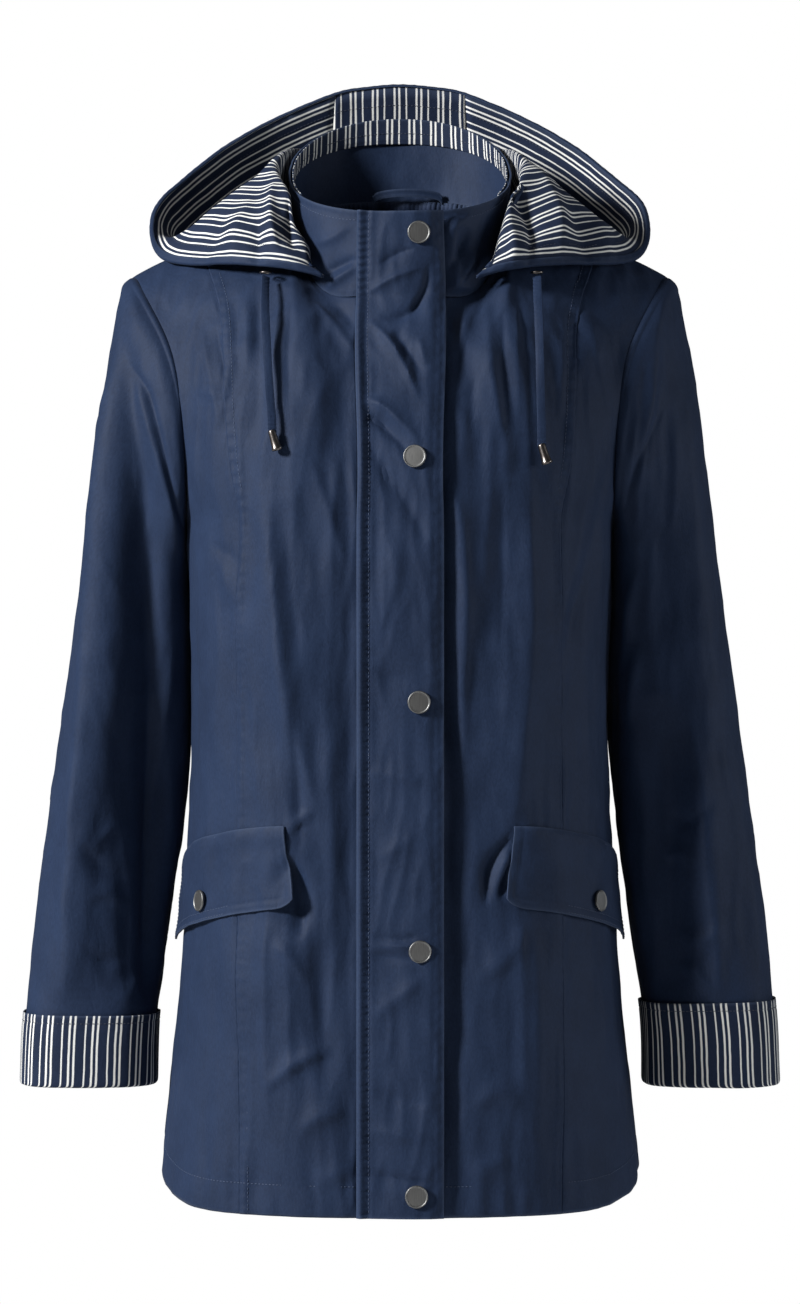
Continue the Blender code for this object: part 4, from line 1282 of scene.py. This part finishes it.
# %% Make the collar and what lies in it
collar = lay("collar_cloth", stand, 58, 10)
spots = places(collar)
foot, head = distance(collar, "foot"), distance(collar, "head")
heights = seen(outwards(collar), -1, 2) * creased(spots, COLLAR_CREASES) * soft(head / 10)
heights += 1.2 * rumple(spots, 30, 40, 91) * soft(head / 12) + 0.5 * rumple(spots, 12, 18, 92)
heights *= soft((foot + 2) / 10)
heights += seam_roll(foot, 1) - 0.35 * peak(head, 5, 1.2)
heights += 0.25 * np.sin(distance(collar, "start") / 1.6) * peak(foot, 3, 3)
move_out(collar, heights)
make_up(collar, canvas, "head foot start end", bevel=0.4)

band = lay("collar_band_cloth", band_form, 48, 5)
move_out(band, 0.5 * rumple(places(band), 14, 30, 95) - 0.5 * soft((distance(band, "foot") - 1) / 3))
make_up(band, stripes_across, "head", LINING)

gathers = lay("back_lining_cloth", gathered, 52, 5)
across, head = distance(gathers, "start"), distance(gathers, "head")
pleats = np.sin(across * 2 * math.pi / 3.6 + 1.3 * np.sin(across / 11)) * (0.65 + 0.35 * np.sin(across / 17))
move_out(gathers, 0.75 * pleats * soft((34 - head) / 30))
make_up(gathers, lining, "head", LINING)

loop = lay("hanger_loop_cloth", strap_form, 30, 3)
move_out(loop, -0.25 * peak(distance(loop, "foot head"), 1.2, 0.5))
make_up(loop, canvas, "foot head", bevel=0.3)

route = [neck(mix(COLLAR_START + 0.03, COLLAR_STOP - 0.03, u), 1 - 5 / COLLAR_HEIGHT) for u in run(120)]
stitched("collar", thread, [(route, skin(collar))])
# The band's row is on its inner face
route = [lifted(band_form, u, 0.42, -LINING - 0.2) for u in run(90)]
stitched("collar_band", pale_thread, [(route, skin(band))])

# %% [markdown]
# ## Hood
# The hood has fallen back: it comes up from the neck seam, rolls over and lies on the shoulders, and its
# back stands up behind the collar. Its striped lining shows. The canvas shell lies under it and is turned
# over the lining along the mouth to make the casing for the tie. It could be simulated falling, but it
# would hardly come to rest where it should. So its line round the neck and its mouth are tables, and the
# cloth is a smooth surface between them.

# %% Fold the hood
HALF_GAP = SEAM / 2 / HOOD_GIRTH
HOOD_SPANS = named("shell inside start stop columns seams",
    ("side_left", "left", 0.0, HOOD_SEAM - HALF_GAP, 28, ["end"]),
    ("centre", "centre", HOOD_SEAM + HALF_GAP, 2 - HOOD_SEAM - HALF_GAP, 9, ["start", "end"]),
    ("side_right", "right", 2 - HOOD_SEAM + HALF_GAP, 2.0, 28, ["start"]),
)
HOOD_CREASES = creases(
    (6.5, 7, 0.2, -93, -14, -96, 10, -95, 42),
    (6, -5.5, 0, -107, -28, -109, -10, -106, 10),
    (5.5, -5.5, 0, -79, -16, -83, 4, -85, 28),
    (5, 3.5, 0, -70, -26, -72, -10, -75, 6),
    (10, 4.5, 0, -128, -20, -122, 4, -113, 30),
    (9, -4, 0, -150, -22, -142, -2, -132, 18),
    (8, -9, 0, 97, -28, 101, 4, 92, 30, 83, 50),
    (6, 4, 0, 84, -26, 86, -8, 83, 10),
    (9, 7, 0, 122, -22, 120, 14, 108, 42, 96, 60),
    (9, -5, 0, 143, -24, 140, -2, 130, 22),
    (9, 4, 0, 161, -20, 156, 0, 149, 14),
)
STRIPE_SHIFT, CASING_ROW = 3.5, 17


def hood_face(start, stop):
    return lambda u, v: hood(mix(start, stop, u), max(0.0, 1 - v) ** HOOD_ROWS)


def in_from_mouth(place, away):
    """How far up the hood's face, from 0 to 1, a point lies `away` millimetres in from the mouth."""
    length = (hood(place, 1) - hood(place, 0.9)).length / 0.1
    return 1 - (1 - away / length) ** (1 / HOOD_ROWS)


before, moved, stitch_routes = [], [], []
for span in HOOD_SPANS:
    form = hood_face(span.start, span.stop)
    face = lay("hood_lining_%s_cloth" % span.inside, form, span.columns, 26)
    if span.inside == "left":
        for corner in face.data.uv_layers["cloth"].data:
            corner.uv.y -= STRIPE_SHIFT * MM
    spots = places(face)
    heights = soft((30 - spots[:, 1]) / 25) * creased(spots, HOOD_CREASES)
    heights += uneven(spots, (1.2, 30, 40, 121), (0.5, 13, 15, 122))
    for key in span.seams:
        heights += seam_roll(distance(face, key), 1)
    move_out(face, heights - 0.5 * peak(distance(face, "foot"), CASING_ROW, 1.6))
    before.append(spots)
    moved.append(places(face) - spots)
    make_up(face, stripes_across if span.inside == "centre" else stripes_along, "foot", LINING)
    route = [form(u, in_from_mouth(mix(span.start, span.stop, u), CASING_ROW)) for u in run(80)]
    stitch_routes.append((route, skin(face)))

hood_spots, hood_moves = np.concatenate(before), np.concatenate(moved)
near_hood = KDTree(len(hood_spots))
for i, spot in enumerate(hood_spots):
    near_hood.insert(spot, i)
near_hood.balance()


def follow_hood(piece):
    """Fold a piece that is sewn to the hood's lining in the same way."""
    shifts = []
    for spot in places(piece):
        found = near_hood.find_n(spot, 4)
        weights = np.array([1 / (gap + 0.05) for _, _, gap in found])
        shifts.append(weights @ hood_moves[[i for _, i, _ in found]] / weights.sum())
    move_to(piece, places(piece) + np.array(shifts))


for span in HOOD_SPANS:
    form = hood_face(span.start, span.stop)
    under = lay("hood_%s_cloth" % span.shell, lambda u, v: lifted(form, u, v, -(LINING + LINING_GAP)),
                span.columns, 26, fine=1)
    follow_hood(under)
    make_up(under, canvas, "foot")

# %% The casing round the hood's mouth
CASING_LIFT, CASING_UNDER = 0.9, 18


def casing_form(u, v):
    """The casing, from its edge on the lining round the mouth and in under the shell."""
    place = mix(0.004, 1.996, u)
    near = abs(1 - place)
    over = mix(0.8, 5.6, ease((near - 0.42) / 0.14))
    over = mix(1.0, over, ease((near - 0.05) / 0.25))
    thick = LINING + LINING_GAP + CANVAS + 1.6
    turn = math.pi * thick / 2
    way = (1 - v) * (over + turn + CASING_UNDER)
    beyond = 0.0
    if way < over:
        away, lift = over - way, CASING_LIFT
    elif way < over + turn:
        angle = (way - over) * 2 / thick
        away, lift = 0.0, CASING_LIFT - thick / 2 * (1 - math.cos(angle))
        beyond = thick / 4 * math.sin(angle)
    else:
        away, lift = way - over - turn, CASING_LIFT - thick
    point = lifted(hood_face(0, 2), place / 2, in_from_mouth(place, away), lift)
    return point + (hood(place, 1) - hood(place, 0.98)).normalized() * beyond


casing = lay("hood_casing", casing_form, 150, 11, fine=1)
follow_hood(casing)
along, edge = distance(casing, "start"), distance(casing, "head")
move_out(casing, 0.22 * np.sin(along / 1.3) * peak(edge, 3, 3))
make_up(casing, canvas, "head", LINING)
stitched("hood", pale_thread, stitch_routes)


# %% [markdown]
# ## Storm flap and pocket flaps
# The storm flap covers the zip. It is sewn down along the wearer's right edge and free along the other,
# where it stands off the front. It runs up over the collar. The pocket flaps hang from their top seam.
# A bevelled box would do for a stiff flap. These are laid cloth as well, so that they bend round the body
# and lift at their free edges.

# %% Storm flap
PLACKET_WIDTH = 2 * PLACKET_X


def placket_form(u, v):
    return lifted(opening, mix(-PLACKET_X, PLACKET_X, u), bend_at(0.58, 1 / 3)(v) * 3, CANVAS + LAID_ON,
                  step=0.004)


PLACKET_CREASES = creases(
    (5, -2.4, 0, -15, -28, -2, -20, 10, -16),
    (5, 2.6, 0, -24, -49, -5, -38, 14, -31),
    (5, -3.8, 0, -15, -68, -1, -69, 12, -61, 19, -45, 21, -26),
    (5, 4, 0.3, 15, -130, -4, -93, -22, -70),
    (4.5, -2.6, 0, 16, -112, 2, -88, -6, -80),
    (4.5, 4, -0.2, 16, -165, -9, -140, -25, -129),
    (4.5, -3, 0, 8, -172, -12, -150, -24, -142),
    (9, -3.4, 0, 19, -236, 7, -211, -9, -187, -26, -158),
    (4, 2, 0, 19, -108, 14, -86),
    (8, 2, 0, -14, -300, -4, -262, -10, -225),
    (9, -1.8, 0, -20, -330, 20, -344),
    (7, 2, 0.2, -22, -405, 16, -414),
    (8, 1.6, 0, -16, -470, 12, -452),
    (3.5, -1.8, 0, -22, -526, 0, -529, 16, -525),
    (3.5, 1.8, 0, -22, -533, 18, -534),
    (3.5, -1.8, 0, -22, -541, 18, -543),
    (8, 2, 0, -18, -585, 18, -556),
    (7, -1.8, 0, -20, -640, 20, -650),
    (6, 1.8, 0.2, -22, -668, 18, -676),
    (4, -2.4, 0, -25, -698, 0, -704, 25, -707),
)
placket = lay("placket_cloth", placket_form, 12, 96, edge=0.03, ends=0.004)
spots = places(placket)
left, right, foot, head = (distance(placket, key) for key in ("start", "end", "foot", "head"))
heights = 1.3 * creased(spots, PLACKET_CREASES) * soft(left / 9)
heights += (0.9 * rumple(spots, 26, 60, 140) + 0.8 * crinkle(spots, 12, 40, 144)) * soft(left / 14)
# The sewn edge: it rolls down to the front, stands over its allowance and dips at the stitching
heights += 0.4 + 3.0 * soft((8.5 - left) / 8.5) - 0.7 * peak(left, 9, 1.3) - 3.9 * peak(left, 0, 1.5)
ripple = np.sin(spots[:, 2] * 2 * math.pi / 5.6 + 2 * rumple(spots, 20, 30, 141))
heights += 0.8 * ripple * peak(left, 5, 3.4)
# The free edge stands off the front, most in the middle of its height
free = soft((left - 38) / 26) * soft(head / 60) * soft(foot / 50)
heights += 4.2 * soft((left - 8) / 36) * soft((right + 6) / 20)
heights += free * (2.4 + 1.6 * rumple(spots, 200, 70, 142)) - 0.45 * peak(right, 7.5, 1.3)
heights += 0.3 * np.sin(spots[:, 2] / 1.7) * peak(right, 4.5, 2.5)
move_out(placket, heights)
make_up(placket, canvas, "start end head foot", bevel=0.4)
placket_skin = skin(placket)
stitched("placket", thread, [([placket_form(share, mix(0.004, 0.996, v)) for v in run(200)], placket_skin)
                             for share in (9 / PLACKET_WIDTH, 1 - 7.5 / PLACKET_WIDTH)])

# %% Pocket flaps
FLAP_INNER_X, FLAP_END = (78, 82.5), math.radians(88)
FLAP_TOP_Z, FLAP_BOTTOM_Z, FLAP_CORNER, FLAP_LIFT = (-446, -474), (-506, -538), 7, 3
FLAP_CURL, FLAP_ROWS_IN = {"right": 9.0, "left": 5.0}, (1.8, 7)
FAR_OUT, SMOOTHINGS = 40, 12


def flap_edges(u):
    """The heights of a flap's lower edge and top seam, from its inner end to its outer end."""
    bottom = mix(*FLAP_BOTTOM_Z, max(0.0, u) ** 1.4) + FLAP_CORNER * max(0.0, 1 - u / 0.07) ** 2
    return bottom, mix(*FLAP_TOP_Z, max(0.0, u) ** 1.7)


def flap_form(side):
    def form(u, v):
        u = u if side > 0 else 1 - u
        z = mix(*flap_edges(u), v)
        part = mix(front_angle(z, mix(*FLAP_INNER_X, v)), FLAP_END, u) / SIDE_ANGLE
        lift = CANVAS + LAID_ON + FLAP_LIFT * (1 - v) * (0.35 + 0.65 * u)
        return lifted(torso, side * part, rise_at(z, part), lift)
    return form


def clear_of(piece, trees, gap):
    """How far each point must move out to stand off the cloth below by a gap, smoothed along the piece."""
    spots, facing = places(piece), outwards(piece)
    needed = np.zeros(len(spots))
    for i, (spot, normal) in enumerate(zip(spots, facing)):
        spot, normal = Vector(spot), Vector(normal)
        reaches = [tree.ray_cast(spot + normal * FAR_OUT, -normal) for tree in trees]
        reaches = [FAR_OUT - away for place, _, _, away in reaches if place is not None]
        needed[i] = max([gap + max(reaches)] + [0.0]) if reaches else 0.0
    ends = np.array([edge.vertices[:] for edge in piece.data.edges])
    for _ in range(SMOOTHINGS):
        total, count = needed.copy(), np.ones(len(needed))
        for a, b in ((0, 1), (1, 0)):
            np.add.at(total, ends[:, a], needed[ends[:, b]])
            np.add.at(count, ends[:, a], 1)
        needed = np.maximum(total / count, 0.0)
    return needed


flap_skins = {}
for side, name in SIDES:
    form = flap_form(side)
    flap = lay("flap_%s_cloth" % name, form, 20, 13, edge=0.02, ends=0.03)
    spots = places(flap)
    foot, head = distance(flap, "foot"), distance(flap, "head")
    # The inner corner curls up, the right one more
    corner = np.hypot(distance(flap, "start" if side > 0 else "end"), foot * 1.1)
    spots[:, 1] -= FLAP_CURL[name] * peak(corner, 0, 26) * soft(head / 30)
    move_to(flap, spots)
    heights = clear_of(flap, [body_skins["front_" + name], body_skins["side_front_" + name]], CANVAS + 0.6)
    heights += 0.5 * crinkle(spots, 16, 26, 155 + side) + 1.0 * rumple(spots, 22, 26, 150 + side)
    edge = distance(flap, "start end foot")
    heights += 0.9 * peak(head, 8, 7) - 0.9 * peak(head, 0, 1.5) + 0.3 * soft((7 - edge) / 3)
    move_out(flap, heights - 0.3 * peak(edge, 7, 1.3))
    make_up(flap, canvas, "start end foot head", bevel=0.45)
    flap_skins[name] = skin(flap)
    routes = [[inset(form, v, away, end) for v in run(30)] for end in (0, 1) for away in FLAP_ROWS_IN]
    routes += [[inset_foot(form, mix(0.04, 0.96, u), away, end) for u in run(40)]
               for away, end in (*((away, 0) for away in FLAP_ROWS_IN), (3, 1))]
    stitched("flap_" + name, thread, [(route, flap_skins[name]) for route in routes])

# %% Stitches of the body
stitched("princess", thread, [([inset(body_forms[name], mix(0.003, 0.99, v), 7, end) for v in run(150)],
                               body_skins[name]) for name, end in (("front_right", 0), ("front_left", 1))])
stitched("hem", thread, [([inset_foot(body_forms[name], u, HEM_TURN) for u in run(70)], body_skins[name])
                         for name in ("front_right", "side_front_right", "side_front_left", "front_left",
                                      "back")])


# %% [markdown]
# ## Metal
# Five snap caps close the storm flap and one closes each pocket flap. A cap is turned: a dished face inside
# a rolled rim. A bevelled cylinder would be close, but a spun profile gives the dish and the rim at once.

# %% Snap caps
CAP_PROFILE = ((0, 2.62), (3.0, 2.60), (6.0, 2.55), (7.1, 2.52), (7.35, 2.56), (7.5, 2.78), (7.7, 2.92),
               (7.95, 2.92), (8.2, 2.75), (8.42, 2.35), (8.5, 1.8), (8.4, 1.2), (8.0, 0.7), (7.2, 0.5),
               (3.0, -1.0), (0, -1.0))
SNAPS = named("z x aside up", (-4, 14, 0.02, -0.01), (-173, 11, -0.14, 0.11), (-354, 14, 0, 0),
              (-537, 14.5, 0.13, -0.10), (-716, 12, 0.06, -0.03))
INWARDS, BEHIND_HOOD_Y, BEFORE_FLAP_Y, HOOD_FOOT_Z = Vector((0, 1, 0)), -110, -150, -60
for number, snap in enumerate(SNAPS, 1):
    cap = turned("snap_%d_cap" % number, CAP_PROFILE, 40)
    # Start in front of the flap but behind the hood
    near = Vector((snap.x, BEFORE_FLAP_Y if snap.z < HOOD_FOOT_Z else BEHIND_HOOD_Y, snap.z))
    spot = placket_skin.ray_cast(near, INWARDS)[0]
    stand_on(cap, spot, Vector((snap.aside, -1, snap.up)).normalized())
FLAP_SNAP_ALONG, FLAP_SNAP_Z = 0.52, -504
for side, name in SIDES:
    cap = turned("flap_snap_%s_cap" % name, CAP_PROFILE, 40, scale=0.95)
    bottom, top = flap_edges(FLAP_SNAP_ALONG)
    along = FLAP_SNAP_ALONG if side > 0 else 1 - FLAP_SNAP_ALONG
    spot = flap_form(side)(along, (FLAP_SNAP_Z - bottom) / (top - bottom))
    spot, normal, _, _ = flap_skins[name].ray_cast(spot + Vector((side * 3, -60, 0)), INWARDS)
    stand_on(cap, spot, normal)
print("snap caps:", len(SNAPS) + 2)
